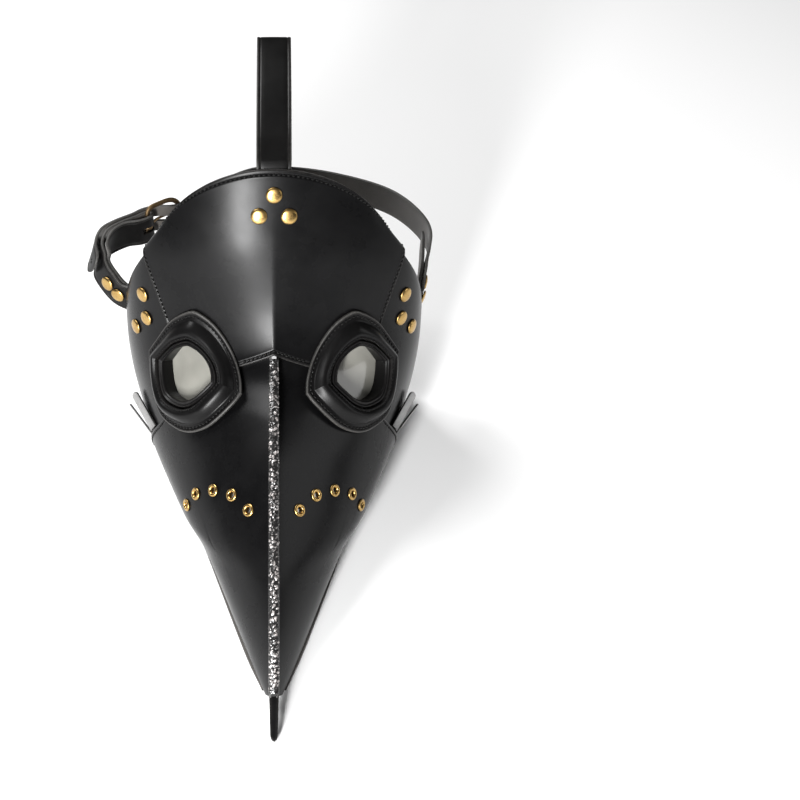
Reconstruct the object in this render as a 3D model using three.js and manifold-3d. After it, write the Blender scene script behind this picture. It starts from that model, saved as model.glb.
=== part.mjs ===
// Plague doctor mask: a long-beaked leather mask with stitched panels, leaf-shaped eye domes,
// gill flaps, brass rivets and eyelets, a buckled headband and a crown strap.
// Millimetres. +X is to the right when facing the mask, the beak points along -Y, +Z is up.
// The mask lies as it rests on a table: on the beak's flat underside and the two jaw corners.
import * as THREE from 'three';
import { mergeVertices } from 'three/addons/utils/BufferGeometryUtils.js';
import Module from 'manifold-3d';

const wasm = await Module();
wasm.setup();

// ---- Driving dimensions ----
const LEATHER = 1.8;          // thickness of every leather panel
const GAP = 0.3;              // clearance between touching pieces
const LAYER = LEATHER + 1.1;  // step from one lapped panel to the next
const REST_Y = 125;           // distance from the beak's tip back to the part's origin
const STRAP_WIDTH = 21;
const STRAP_THICK = 2.0;
const RIDGE_PROUD = 3.6;      // how far the standing seam rises above the shell
const WELT_HALF = 1.1;        // half thickness of the strip inside the standing seam
const RIVET_CAP = { radius: 5.0, height: 2.4 };
const RIVET_SHANK = 1.6;
const RIVET_WASHER = { radius: 4.0, height: 1.0 };
const EYELET = { outer: 4.1, hole: 2.3, lip: 1.0 };
const ROUND = 8;              // sides of a small round piece
const LEAF_STEPS = 20;        // steps around a leaf-shaped ring

// Sections of the shell from the forehead's top (at 0) to the beak's tip (at 1). Each runs from the
// centre ridge (y, z) round to the lower rear edge (x, y, z). It turns through an angle in degrees,
// is flat-sided from 0 (round) to 1 (straight), and bellies out halfway by some millimetres.
const SECTIONS = [
  { at: 0.00, ridge: [250, 228], edge: [75, 260, 162], turn: 80, flat: 0.00, belly: 0.0 },
  { at: 0.15, ridge: [234, 188], edge: [97, 272, 126], turn: 84, flat: 0.05, belly: 0.0 },
  { at: 0.33, ridge: [205, 121], edge: [103, 281, 78], turn: 86, flat: 0.40, belly: 2.0 },
  { at: 0.47, ridge: [165, 102], edge: [100, 286, 34], turn: 86, flat: 0.60, belly: 6.0 },
  { at: 0.60, ridge: [126, 81], edge: [88, 280, 2.9], turn: 84, flat: 0.70, belly: 12.0 },
  { at: 0.74, ridge: [90, 59], edge: [62, 195, 3.0], turn: 80, flat: 0.78, belly: 8.0 },
  { at: 0.82, ridge: [72, 48], edge: [48.5, 160, 3.0], turn: 76, flat: 0.80, belly: 3.5 },
  { at: 0.92, ridge: [45, 29], edge: [19, 72, 3.0], turn: 70, flat: 0.85, belly: 0.5 },
  { at: 1.00, ridge: [24, 11], edge: [3.4, 30, 3.0], turn: 60, flat: 1.00, belly: 0.0 },
];
const BEAK_END = 0.990;       // where the beak panels stop and the tip tab begins
const NOSE_EDGE = 0.333;      // the forehead panel's lower edge on the centre line
const PANEL_CORNER = { along: 0.413, round: 0.40 };  // where three panels meet, inside the eye hole
const JAW_SEAM_END = 0.69;    // where the beak's seam reaches the lower edge
const LAP = 0.03;             // how far one panel runs under the next

const RAD = Math.PI / 180;
const LEATHER_BLACK = { color: 0x1c1c1e, roughness: 0.55, metalness: 0.0 };
const STRAP_BLACK = { color: 0x222224, roughness: 0.6, metalness: 0.0 };
const RAW_EDGE = { color: 0x8a8a88, roughness: 0.9, metalness: 0.0 };
const PAD_GREY = { color: 0x2b2b2c, roughness: 0.95, metalness: 0.0 };
const BRASS = { color: 0xc9a45a, roughness: 0.35, metalness: 1.0 };
const BRONZE = { color: 0x6b5433, roughness: 0.4, metalness: 1.0 };
const LENS_GREY = { color: 0xb4b3a8, roughness: 0.15, metalness: 0.0 };

const mask = new THREE.Group();

// ---- Small maths helpers ----
const vec = (x, y, z) => new THREE.Vector3(x, y, z);
const clamp01 = (x) => Math.min(1, Math.max(0, x));
const smooth = (a, b, x) => { const s = clamp01((x - a) / (b - a)); return s * s * (3 - 2 * s); };
const steps = (n) => Array.from({ length: n + 1 }, (_, i) => i / n);

function sectionAt(t) {
  // Cubic blend of the neighbouring sections, with tangents from the sections either side.
  const rows = SECTIONS.map((s) => [...s.ridge, ...s.edge, s.turn, s.flat, s.belly]);
  const at = SECTIONS.map((s) => s.at);
  const last = at.length - 1;
  const slope = (i, c) => {
    const a = Math.max(0, i - 1);
    const b = Math.min(last, i + 1);
    return (rows[b][c] - rows[a][c]) / (at[b] - at[a]);
  };
  let i = 0;
  while (i < last - 1 && t >= at[i + 1]) i += 1;
  const h = at[i + 1] - at[i];
  const s = (t - at[i]) / h;
  return rows[0].map((_, c) => (2 * s ** 3 - 3 * s ** 2 + 1) * rows[i][c]
    + (s ** 3 - 2 * s ** 2 + s) * h * slope(i, c)
    + (3 * s ** 2 - 2 * s ** 3) * rows[i + 1][c]
    + (s ** 3 - s ** 2) * h * slope(i + 1, c));
}

// A point of the shell's outer face: t runs from forehead to tip, u from the ridge to the edge.
function onShell(t, u) {
  const [ry, rz, ex, ey, ez, turn, flat, belly] = sectionAt(t);
  const full = turn * RAD;
  const a = full * Math.abs(u);
  const x = ex * Math.sin(a) / Math.sin(full) + belly * Math.sin(Math.PI * Math.abs(u));
  const g = (1 - flat) * (1 - Math.cos(a)) / (1 - Math.cos(full)) + flat * Math.abs(u);
  return vec(u < 0 ? -x : x, ry + (ey - ry) * g, rz + (ez - rz) * g);
}

function shellNormal(t, u) {
  const e = 1e-3;
  const side = u < 0 ? -1 : 1;
  const w = Math.abs(u);
  const du = onShell(t, w + e).sub(onShell(t, Math.max(0, w - e)));
  const dt = onShell(Math.min(1, t + e), w).sub(onShell(Math.max(0, t - e), w));
  const n = dt.cross(du);
  n.x = w < 1e-6 ? 0 : n.x * side;
  return n.normalize();
}

// A point h millimetres outside the shell's outer face.
function shell(t, u, h) {
  return onShell(t, u).addScaledVector(shellNormal(t, u), h);
}

// ---- Solids from grids of points ----
function solidFromPoints(points, faces) {
  const geometry = new THREE.BufferGeometry();
  const flat = points.flatMap((p) => [p.x, p.y, p.z]);
  geometry.setAttribute('position', new THREE.Float32BufferAttribute(flat, 3));
  geometry.setIndex(faces.flat());
  return outward(geometry);
}

// Turns a closed mesh's faces outward if its volume comes out negative.
function outward(geometry) {
  const p = geometry.getAttribute('position');
  const index = geometry.getIndex().array;
  const at = (i) => vec(p.getX(i), p.getY(i), p.getZ(i));
  let volume = 0;
  for (let f = 0; f < index.length; f += 3) {
    volume += at(index[f]).dot(at(index[f + 1]).cross(at(index[f + 2])));
  }
  if (volume < 0) {
    for (let f = 0; f < index.length; f += 3) [index[f + 1], index[f + 2]] = [index[f + 2], index[f + 1]];
  }
  return geometry;
}

// A plate between two grids of points, closed round its rim.
function plate(top, bottom) {
  const rows = top.length;
  const cols = top[0].length;
  const points = [...top.flat(), ...bottom.flat()];
  const a = (i, j) => i * cols + j;
  const b = (i, j) => rows * cols + i * cols + j;
  const faces = [];
  const quad = (p, q, r, s) => faces.push([p, q, r], [p, r, s]);
  for (let i = 0; i < rows - 1; i += 1) {
    for (let j = 0; j < cols - 1; j += 1) {
      quad(a(i, j), a(i + 1, j), a(i + 1, j + 1), a(i, j + 1));
      quad(b(i, j), b(i, j + 1), b(i + 1, j + 1), b(i + 1, j));
    }
  }
  for (let j = 0; j < cols - 1; j += 1) {
    quad(a(0, j), a(0, j + 1), b(0, j + 1), b(0, j));
    quad(a(rows - 1, j), b(rows - 1, j), b(rows - 1, j + 1), a(rows - 1, j + 1));
  }
  for (let i = 0; i < rows - 1; i += 1) {
    quad(a(i, 0), b(i, 0), b(i + 1, 0), a(i + 1, 0));
    quad(a(i, cols - 1), a(i + 1, cols - 1), b(i + 1, cols - 1), b(i, cols - 1));
  }
  return solidFromPoints(points, faces);
}

// A ring made of closed profile loops, one per step around.
function ringOf(loops) {
  const n = loops.length;
  const m = loops[0].length;
  const faces = [];
  for (let i = 0; i < n; i += 1) {
    for (let j = 0; j < m; j += 1) {
      const [a, b] = [i * m + j, ((i + 1) % n) * m + j];
      const [c, d] = [((i + 1) % n) * m + (j + 1) % m, i * m + (j + 1) % m];
      faces.push([a, b, c], [a, c, d]);
    }
  }
  return solidFromPoints(loops.flat(), faces);
}

// A bar of closed profile loops with both ends capped.
function barOf(loops) {
  const m = loops[0].length;
  const faces = [];
  for (let i = 0; i < loops.length - 1; i += 1) {
    for (let j = 0; j < m; j += 1) {
      const [a, b] = [i * m + j, (i + 1) * m + j];
      const [c, d] = [(i + 1) * m + (j + 1) % m, i * m + (j + 1) % m];
      faces.push([a, b, c], [a, c, d]);
    }
  }
  const end = (loops.length - 1) * m;
  for (let j = 1; j < m - 1; j += 1) faces.push([0, j, j + 1], [end, end + j + 1, end + j]);
  return solidFromPoints(loops.flat(), faces);
}

// ---- Boolean cuts ----
function toManifold(geometry) {
  const bare = geometry.clone();
  bare.deleteAttribute('normal');
  bare.deleteAttribute('uv');
  const merged = mergeVertices(bare, 1e-4);
  const mesh = new wasm.Mesh({
    numProp: 3,
    vertProperties: new Float32Array(merged.getAttribute('position').array),
    triVerts: new Uint32Array(merged.getIndex().array),
  });
  return new wasm.Manifold(mesh);
}

function fromManifold(solid) {
  const mesh = solid.getMesh();
  const geometry = new THREE.BufferGeometry();
  geometry.setAttribute('position', new THREE.Float32BufferAttribute(mesh.vertProperties, 3));
  geometry.setIndex(Array.from(mesh.triVerts));
  return geometry;
}

function cut(geometry, cutters) {
  return fromManifold(cutters.reduce((solid, c) => solid.subtract(toManifold(c)), toManifold(geometry)));
}

function add(name, geometry, look) {
  const mesh = new THREE.Mesh(geometry, new THREE.MeshStandardMaterial(look));
  mesh.name = name;
  mask.add(mesh);
}

// Moves geometry made along +Z so that it starts at a point and runs along a direction.
function along(geometry, point, direction) {
  const turn = new THREE.Quaternion().setFromUnitVectors(vec(0, 0, 1), direction.clone().normalize());
  return geometry.applyMatrix4(new THREE.Matrix4().compose(point, turn, vec(1, 1, 1)));
}

const SIDES = [{ name: 'left', sign: -1 }, { name: 'right', sign: 1 }];

// ---- Eye opening: a leaf shape on the shell ----
// Its two arcs as [t, u] points: over the top from the inner corner to the outer one, and back below.
const EYE = {
  over: [[0.4215, 0.1166], [0.3893, 0.1212], [0.3495, 0.1418], [0.3150, 0.1778], [0.2855, 0.2316],
    [0.2667, 0.2936], [0.2607, 0.3513], [0.2783, 0.4395], [0.3080, 0.4973], [0.3536, 0.5615]],
  under: [[0.3536, 0.5615], [0.4209, 0.5440], [0.4809, 0.5149], [0.5166, 0.4700], [0.5316, 0.3828],
    [0.5283, 0.3148], [0.5063, 0.2441], [0.4737, 0.1861], [0.4440, 0.1420], [0.4215, 0.1166]],
  middle: [0.389, 0.345],
};
const EYE_HOLE = 0.64;        // hole through the panels, as a share of the leaf

// Outline point of the leaf, q from 0 to 1 around, scaled by k about its middle: [t, u].
function leaf(q, k) {
  const arc = q < 0.5 ? EYE.over : EYE.under;
  const last = arc.length - 1;
  const s = (q < 0.5 ? 2 * q : 2 * q - 1) * last;
  const i = Math.min(last - 1, Math.floor(s));
  const [a, b, c, d] = [arc[Math.max(0, i - 1)], arc[i], arc[i + 1], arc[Math.min(last, i + 2)]];
  const f = s - i;
  return EYE.middle.map((middle, n) => middle + k * (b[n] - middle + 0.5 * (f * (c[n] - a[n])
    + f ** 2 * (2 * a[n] - 5 * b[n] + 4 * c[n] - d[n]) + f ** 3 * (3 * b[n] - a[n] - 3 * c[n] + d[n]))));
}

function leafPoint(side, q, k, h) {
  const [t, u] = leaf(q, k);
  return shell(t, side * u, h);
}

// A leaf-shaped ring whose profile is a list of [share of the leaf, height above the shell].
function leafRing(side, profile) {
  return ringOf(steps(LEAF_STEPS).slice(0, -1).map((q) => profile.map(([k, h]) => leafPoint(side, q, k, h))));
}

// A leaf-shaped plate from one height to another.
function leafPlate(side, k, low, high) {
  const around = steps(LEAF_STEPS).slice(0, -1);
  const rings = [[k / 2, high], [k, high], [k, low], [k / 2, low]];
  const points = rings.flatMap(([share, h]) => around.map((q) => leafPoint(side, q, share, h)));
  points.push(leafPoint(side, 0, 0, high), leafPoint(side, 0, 0, low));
  const n = around.length;
  const faces = [];
  for (let i = 0; i < n; i += 1) {
    const j = (i + 1) % n;
    for (let r = 0; r < 3; r += 1) {
      const [a, b, c, d] = [r * n + i, r * n + j, (r + 1) * n + j, (r + 1) * n + i];
      faces.push([a, b, c], [a, c, d]);
    }
    faces.push([4 * n, j, i], [4 * n + 1, 3 * n + i, 3 * n + j]);
  }
  return solidFromPoints(points, faces);
}

const eyeCutter = (side) => leafPlate(side, EYE_HOLE, -9, 6);

// ---- Rivets and eyelets ----
// Each rivet is set at (t, u) through a stack of leather: its outer and inner faces, as heights over
// the cheek's outer face, or over the shell's outer face on the forehead.
const ANCHOR_OUTER = -LEATHER - GAP;             // outer face of the crown strap's riveted end
const TAB_OUTER = -LEATHER - 5 * GAP;            // outer face of the strap tab behind the cheek
const TAB_PLY = STRAP_THICK + 2.5 * GAP;         // from one strap layer to the next behind it
const TAB_INNER = TAB_OUTER - TAB_PLY;           // outer face of the second layer behind that tab
const FOREHEAD_RIVETS = [
  { name: 'forehead_rivet_top', t: 0.057, u: 0.0 },
  { name: 'forehead_rivet_left', t: 0.103, u: -0.068 },
  { name: 'forehead_rivet_right', t: 0.103, u: 0.068 },
];
const CHEEK_RIVETS = [
  { name: 'temple_rivet_1', t: 0.233, u: 0.674 },
  { name: 'temple_rivet_2', t: 0.286, u: 0.632 },
  { name: 'temple_rivet_3', t: 0.312, u: 0.732 },
];
const EYELETS = [[0.650, 0.102], [0.631, 0.166], [0.636, 0.250], [0.661, 0.364], [0.700, 0.500]];

// Where a piece set through the leather sits: a point on the outer face and the way out.
function seatOnShell(t, u) {
  return { point: onShell(t, u), out: shellNormal(t, u) };
}

function seatOnCheek(side, t, u) {
  const e = 0.004;
  const point = cheekPoint(side, t, u, 0);
  const across = cheekPoint(side, t, u + e, 0).sub(cheekPoint(side, t, u - e, 0));
  const down = cheekPoint(side, t + e, u, 0).sub(cheekPoint(side, t - e, u, 0));
  return { point, out: down.cross(across).multiplyScalar(side.sign).normalize() };
}

function drill({ point, out }, radius) {
  return along(new THREE.CylinderGeometry(radius, radius, 26, ROUND).rotateX(Math.PI / 2), point, out);
}

function lathed(profile, { point, out }) {
  const geometry = new THREE.LatheGeometry(profile.map(([r, h]) => new THREE.Vector2(r, h)), ROUND);
  return cleaned(along(geometry.rotateX(Math.PI / 2), point, out));
}

function rivet(seat, outer, inner) {
  const top = outer + GAP;
  const low = inner - GAP;
  const { radius, height } = RIVET_CAP;
  return lathed([[0, low - RIVET_WASHER.height], [RIVET_WASHER.radius, low - RIVET_WASHER.height],
    [RIVET_WASHER.radius, low], [RIVET_SHANK, low], [RIVET_SHANK, top], [radius, top],
    [radius, top + height * 0.35], [radius * 0.78, top + height * 0.8], [0, top + height]], seat);
}

function eyelet(seat, outer) {
  const { lip, hole } = EYELET;
  const neck = hole + 0.7;
  const top = outer + GAP;
  const low = outer - LEATHER - GAP;
  return lathed([[hole, low - lip], [EYELET.outer * 0.9, low - lip], [EYELET.outer * 0.9, low], [neck, low],
    [neck, top], [EYELET.outer, top], [EYELET.outer * 0.8, top + lip], [hole, top + lip * 0.6],
    [hole, low - lip]], seat);
}

// Welds a shape's seams and points its faces out.
function cleaned(geometry) {
  geometry.deleteAttribute('normal');
  geometry.deleteAttribute('uv');
  return fromManifold(toManifold(outward(mergeVertices(geometry, 1e-4))));
}

const foreheadHoles = () => FOREHEAD_RIVETS.map(({ t, u }) => drill(seatOnShell(t, u), RIVET_SHANK + GAP));
const templeHoles = (side) => CHEEK_RIVETS.map(({ t, u }) => drill(seatOnCheek(side, t, u),
  RIVET_SHANK + GAP));

// ---- Shell panels ----
// Seams on the shell, by the share b from the three-panel corner (0) to the outer edge (1).
const seamRound = (b) => PANEL_CORNER.round + (1 - PANEL_CORNER.round) * b;
const foreheadSeam = (b) => PANEL_CORNER.along * (1 - b ** (1 / 1.7));
const jawSeam = (b) => PANEL_CORNER.along + (JAW_SEAM_END - PANEL_CORNER.along) * b ** 0.45;

function foreheadPanel() {
  const place = (v, w) => {
    const edge = seamRound((1 - v) ** 1.7);
    return [v * (NOSE_EDGE + (PANEL_CORNER.along - NOSE_EDGE) * Math.abs(w)), w * edge];
  };
  const grid = (h) => steps(11).map((v) => steps(14).map((j) => shell(...place(v, 2 * j - 1), h)));
  return cut(plate(grid(0), grid(-LEATHER)), [
    ...SIDES.map(({ sign }) => eyeCutter(sign)),
    ...foreheadHoles(),
  ]);
}

// The cheek lies one layer under the forehead panel.
const cheekPoint = ({ sign }, t, u, h) => shell(t, sign * u, h - LAYER);

function cheekPanel(side) {
  const start = 0.08;
  const place = (a, b) => {
    const share = start + (1 - start) * b;
    const top = Math.max(0.004, foreheadSeam(share) - LAP);
    const t = top + (jawSeam(share) + LAP - top) * a;
    return [t, seamRound(share)];
  };
  const columns = [0, 0.22, 0.44, 0.62, 0.8, 0.9, 1];
  const grid = (h) => steps(22).map((a) => columns.map((b) => cheekPoint(side, ...place(a, b), h)));
  return cut(plate(grid(0), grid(-LEATHER)), [
    eyeCutter(side.sign),
    ...templeHoles(side),
  ]);
}

// The beak panel dips under the forehead near the ridge and rides over the cheek at its seam.
const beakOuter = (t, u) => -LAYER * (1 - smooth(0.25, 0.42, Math.abs(u))) * (1 - smooth(0.43, 0.56, t));
const beakStart = (u) => (u < PANEL_CORNER.round
  ? NOSE_EDGE + 0.2 * u - LAP
  : jawSeam((u - PANEL_CORNER.round) / (1 - PANEL_CORNER.round)));

// Where the standing seam's foot meets the shell, as a share round the section.
function seamFoot(t, x) {
  const [, , ex, , , turn, , belly] = sectionAt(t);
  return x / (ex * turn * RAD / Math.sin(turn * RAD) + belly * Math.PI);
}

const seamRise = (t) => smooth(NOSE_EDGE + 0.012, NOSE_EDGE + 0.037, t);

function beakPanel({ sign }) {
  const inner = WELT_HALF + GAP;
  const outer = inner + LEATHER;
  const columns = [0.06, 0.13, 0.21, 0.29, 0.36, 0.4, 0.46, 0.55, 0.67, 0.8, 0.9, 1];
  const rows = [0, 0.06, ...steps(15).map((b) => 0.1 + 0.9 * b ** 1.05)];
  // The flange lies flat under the forehead panel and stands up beyond its edge.
  const flangeTop = (x, t) => shell(t, sign * seamFoot(t, x), beakOuter(t, 0))
    .lerp(shell(t, 0, RIDGE_PROUD), seamRise(t)).setX(sign * x);
  const side = (face) => rows.map((b) => {
    const flangeT = beakStart(0) + (BEAK_END - beakStart(0)) * b;
    const foot = seamFoot(flangeT, outer + 0.3);
    const flange = face === 'outer'
      ? [flangeTop(outer, flangeT), shell(flangeT, sign * foot, beakOuter(flangeT, foot))]
      : [flangeTop(inner, flangeT), shell(flangeT, 0, beakOuter(flangeT, 0) - LEATHER).setX(sign * inner)];
    const body = columns.map((c) => {
      const u = Math.max(c, foot + (1 - foot) * c);
      const t = beakStart(u) + (BEAK_END - beakStart(u)) * b;
      return shell(t, sign * u, beakOuter(t, u) - (face === 'outer' ? 0 : LEATHER));
    });
    return [...flange, ...body];
  });
  return cut(plate(side('outer'), side('inner')), [
    eyeCutter(sign),
    ...EYELETS.map(([t, u]) => drill(seatOnShell(t, sign * u), EYELET.hole + 0.7 + 2 * GAP)),
  ]);
}

function ridgeWelt() {
  const loops = steps(18).map((b) => {
    const t = NOSE_EDGE + 0.02 + (BEAK_END - NOSE_EDGE - 0.02) * b;
    const [low, high] = [-LAYER - LEATHER, RIDGE_PROUD - GAP];
    return [[-1, low], [1, low], [1, high], [-1, high]].map(([s, h]) => shell(t, 0, h).setX(s * WELT_HALF));
  });
  return barOf(loops);
}

const FLAT_CUT = { bevelEnabled: false };

// Flat panel that closes the beak below and lies on the table.
function beakUnderside() {
  const proud = 1.0;
  const from = 0.825;
  const edge = steps(12).map((s) => onShell(from + (BEAK_END - 0.01 - from) * s, 1));
  const outline = new THREE.Shape();
  outline.moveTo(edge[0].x + proud, edge[0].y);
  edge.slice(1).forEach((p) => outline.lineTo(p.x + proud, p.y));
  edge.slice().reverse().forEach((p) => outline.lineTo(-p.x - proud, p.y));
  outline.quadraticCurveTo(0, edge[0].y - 34, edge[0].x + proud, edge[0].y);
  return cleaned(new THREE.ExtrudeGeometry(outline, { ...FLAT_CUT, depth: LEATHER, curveSegments: 8 }));
}

// Rounded tongue at the end of the beak.
function tipTab() {
  const half = 2.9;
  const length = 24.4;
  const outline = new THREE.Shape();
  outline.moveTo(-half, 0);
  outline.lineTo(half, 0);
  outline.lineTo(half * 0.75, length - half);
  outline.absarc(0, length - half, half * 0.75, 0, Math.PI, false);
  outline.lineTo(-half, 0);
  const tongue = new THREE.ExtrudeGeometry(outline, { ...FLAT_CUT, depth: 2.4, curveSegments: 6 });
  const root = onShell(BEAK_END, 0);
  return cleaned(tongue.rotateZ(Math.PI).translate(0, 0, -1.2).rotateX(22 * RAD)
    .translate(0, root.y + 0.2, root.z - 2.2));
}

// ---- Eyes ----
// Ring profiles: share of the leaf, and height over the shell's outer face.
const EYE_DOME = [[1.0, 0.8], [1.0, 2.6], [0.87, 2.6], [0.81, 6.2], [0.73, 8.4], [0.65, 7.0], [0.63, 5.0],
  [0.63, 3.0], [0.672, 3.0], [0.695, 5.2], [0.73, 6.5], [0.78, 4.8], [0.83, 0.8]];
const EYE_PAD = [[0.69, 0.8], [0.69, 2.8], [0.705, 4.7], [0.73, 6.0], [0.766, 4.5], [0.803, 1.0],
  [0.803, 0.8]];
const EYE_RIM = [[0.50, -3.6], [0.50, 4.6], [0.53, 5.8], [0.575, 5.6], [0.605, 4.2], [0.605, -3.6]];
const EYE_RETAINER = [[0.48, -8.2], [0.48, -6.4], [0.76, -6.4], [0.76, -8.2]];

function addEye({ name, sign }) {
  add(`${name}_eye_dome`, leafRing(sign, EYE_DOME), LEATHER_BLACK);
  add(`${name}_eye_pad`, leafRing(sign, EYE_PAD), PAD_GREY);
  add(`${name}_eye_rim`, leafRing(sign, EYE_RIM), LEATHER_BLACK);
  add(`${name}_lens`, leafPlate(sign, 0.60, -5.7, -4.2), LENS_GREY);
  add(`${name}_lens_retainer`, leafRing(sign, EYE_RETAINER), LEATHER_BLACK);
}

// ---- Gill flaps ----
// Each is sewn along the jaw seam, from one share of it to another, and flares out and back.
const GILLS = [
  { from: 0.28, to: 0.44, length: 34, flare: [0.44, 0.89, 0.09] },
  { from: 0.50, to: 0.66, length: 32, flare: [0.54, 0.84, 0.06] },
  { from: 0.72, to: 0.86, length: 15, flare: [0.50, 0.85, 0.15] },
];
const GILL_THICK = 1.5;

function gillRoot(sign, share, h) {
  return shell(jawSeam(share) - 0.008, sign * seamRound(share), h - LAYER + 0.5);
}

function gillFlap(sign, { from, to, length, flare }) {
  const face = (h) => steps(4).map((l) => steps(3).map((m) => {
    const out = vec(sign * flare[0], flare[1], flare[2]).multiplyScalar(length * l);
    return gillRoot(sign, from + (to - from) * m, h).add(out);
  }));
  return plate(face(GILL_THICK), face(0));
}

// ---- Straps ----
// A flat strip along a line of points. Its width runs along a direction given for each point.
function strip(points, wideAt) {
  const loops = points.map((p, i) => {
    const ahead = points[Math.min(points.length - 1, i + 1)].clone().sub(points[Math.max(0, i - 1)]);
    const wide = wideAt(p);
    const flat = ahead.cross(wide).normalize().multiplyScalar(STRAP_THICK / 2);
    const edge = wide.clone().multiplyScalar(STRAP_WIDTH / 2);
    return [p.clone().add(edge).add(flat), p.clone().sub(edge).add(flat),
      p.clone().sub(edge).sub(flat), p.clone().add(edge).sub(flat)];
  });
  return barOf(loops);
}

const curve = (points, n) => new THREE.CatmullRomCurve3(points.map((p) => vec(...p))).getPoints(n);
const UP = vec(0, 0, 1);
const ACROSS = () => vec(1, 0, 0);

// The strap tab is riveted behind the cheek, between two shares round the section, and comes out
// past the cheek's rear edge. Its middle along the cheek and its half width change from end to end.
const TAB = { from: 0.60, second: 0.86, middle: [0.285, 0.235], half: [0.065, 0.039] };

// Beyond the edge its outer face runs through the two strap rivets and ends at the flex line.
const TAILS = {
  left: [[-104.3, 280.5, 104.5], [-111, 284.5, 111], [-117, 292.6, 116.6]],
  right: [[99.4, 282.6, 100.6], [100.8, 288.4, 109.0], [102, 292.6, 114.8]],
};
const TONGUE = [[8, 1, 0.6], [16, 0.97, 1.6], [21, 0.8, 2.4], [23.5, 0.5, 2.8], [24.5, 0.2, 3]];

// The way across a strap: it leans over where the strap rises from the cheek to the headband.
function leaning({ x, y }) {
  const k = smooth(276, 286, y) * (1 - smooth(292, 318, y));
  return (x < 0 ? vec(0.55 * k, -0.3 * k, 1) : vec(0, -0.7 * k, 1)).normalize();
}

function tabPoint({ sign }, u, across, h) {
  const share = (u - TAB.from) / (1 - TAB.from);
  const [t, half] = [TAB.middle, TAB.half].map(([a, b]) => a + (b - a) * share);
  return shell(t + across * half, sign * u, h - LAYER);
}

// A tail's point: its middle, the way across and the way out.
function tailFrame(side, i) {
  const tail = TAILS[side.name].map((p) => vec(...p));
  const before = i > 0 ? tail[i - 1] : tabPoint(side, 1, 0, TAB_OUTER);
  const wide = leaning(tail[i]);
  const ahead = tail[Math.min(i + 1, tail.length - 1)].clone().sub(before);
  return { point: tail[i], wide, out: ahead.normalize().cross(wide).multiplyScalar(side.sign).normalize() };
}

// Strap rivet seats on a tail, and their holes.
const TAIL_RIVETS = [{ name: 'strap_rivet_1', at: 0 }, { name: 'strap_rivet_2', at: 1 }];
const tailHolesOn = (side) => TAIL_RIVETS.map(({ at }) => drill(tailFrame(side, at),
  RIVET_SHANK + GAP));

// One layer of the tab, from a share round the section, h outside the cheek's outer face. A tongue
// goes on straight past the flex line, as rows of [distance, share of the width, drift inward].
function tabPlate(side, from, h, tongue = []) {
  const across = steps(4).map((w) => 2 * w - 1);
  const turning = shellNormal(TAB.middle[1], side.sign).add(tailFrame(side, 0).out).normalize();
  const face = (height) => {
    const rows = steps(8).slice(0, -1)
      .map((s) => across.map((w) => tabPoint(side, from + (1 - from) * s, w, height)));
    rows.push(across.map((w) => tabPoint(side, 1, w, TAB_OUTER)
      .addScaledVector(turning, height - TAB_OUTER)));
    const tail = [0, 1, 2].map((i) => {
      const { point, wide, out } = tailFrame(side, i);
      return across.map((w) => point.clone().addScaledVector(wide, -w * STRAP_WIDTH / 2)
        .addScaledVector(out, height - TAB_OUTER));
    });
    const last = tailFrame(side, 2);
    const ahead = last.wide.clone().cross(last.out).multiplyScalar(side.sign);
    const free = tongue.map(([far, share, drift]) => across.map((w) => last.point.clone()
      .addScaledVector(last.wide, -w * share * STRAP_WIDTH / 2).addScaledVector(ahead, far)
      .addScaledVector(last.out, height - TAB_OUTER - drift)));
    return [...rows, ...tail, ...free];
  };
  const holes = [...templeHoles(side).filter(() => from < 0.7), ...tailHolesOn(side)];
  return cut(plate(face(h), face(h - STRAP_THICK)), holes);
}

// The buckle's hinge bar, on the left rear bend. The frame reaches on along the strap from it.
const BUCKLE = { bar: vec(-86, 327, 126), ahead: vec(0.82, 0.572, 0), out: vec(-0.572, 0.82, 0),
  length: 26, height: 30, wire: 1.6 };
const BAND_Z = 126;
const HINGE_GAP = 1.2;        // either side of the headband's flex line
const BAND_FLEX = { y: 294, z: 116 };
const buckleAt = (s, o) => BUCKLE.bar.clone().addScaledVector(BUCKLE.ahead, s).addScaledVector(BUCKLE.out, o);
const xyz = (p) => [p.x, p.y, p.z];

// The left strap's middle line from the flex line to near the buckle, and points beside it.
const LEFT_LINE = [[-115, 298, 119], [-115.8, 304, 122], [-111, 311.5, 125], [-101.5, 318.6, BAND_Z]];
const HEAD_MIDDLE = [0, 296];

function besideLeft(i, o) {
  const [x, y, z] = LEFT_LINE[i];
  const away = vec(x - HEAD_MIDDLE[0], y - HEAD_MIDDLE[1], 0).normalize();
  return xyz(vec(x, y, z).addScaledVector(away, o));
}

// The long strap: from the right tab, round behind the head, up through the buckle, and on as the free tail.
function longStrap() {
  return curve([[101.4, BAND_FLEX.y + HINGE_GAP, 116.8], [103.4, 302, 121.5], [104.8, 311, 125.4],
    [98, 332, BAND_Z], [80, 355, BAND_Z], [45, 373, BAND_Z], [14, 380.6, BAND_Z],
    [-12, 380.5, BAND_Z], [-34, 367.5, BAND_Z],
    xyz(buckleAt(28, -3.6)), xyz(buckleAt(20, -1.6)), xyz(buckleAt(9, 5.0)), xyz(buckleAt(0, 7.0)),
    xyz(buckleAt(-7, 6.4)), besideLeft(3, 6.4), besideLeft(2, 6.0), besideLeft(1, 6.0), besideLeft(0, 6.4),
    [-121.2, 291.5, 116.8]], 46);
}

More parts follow.
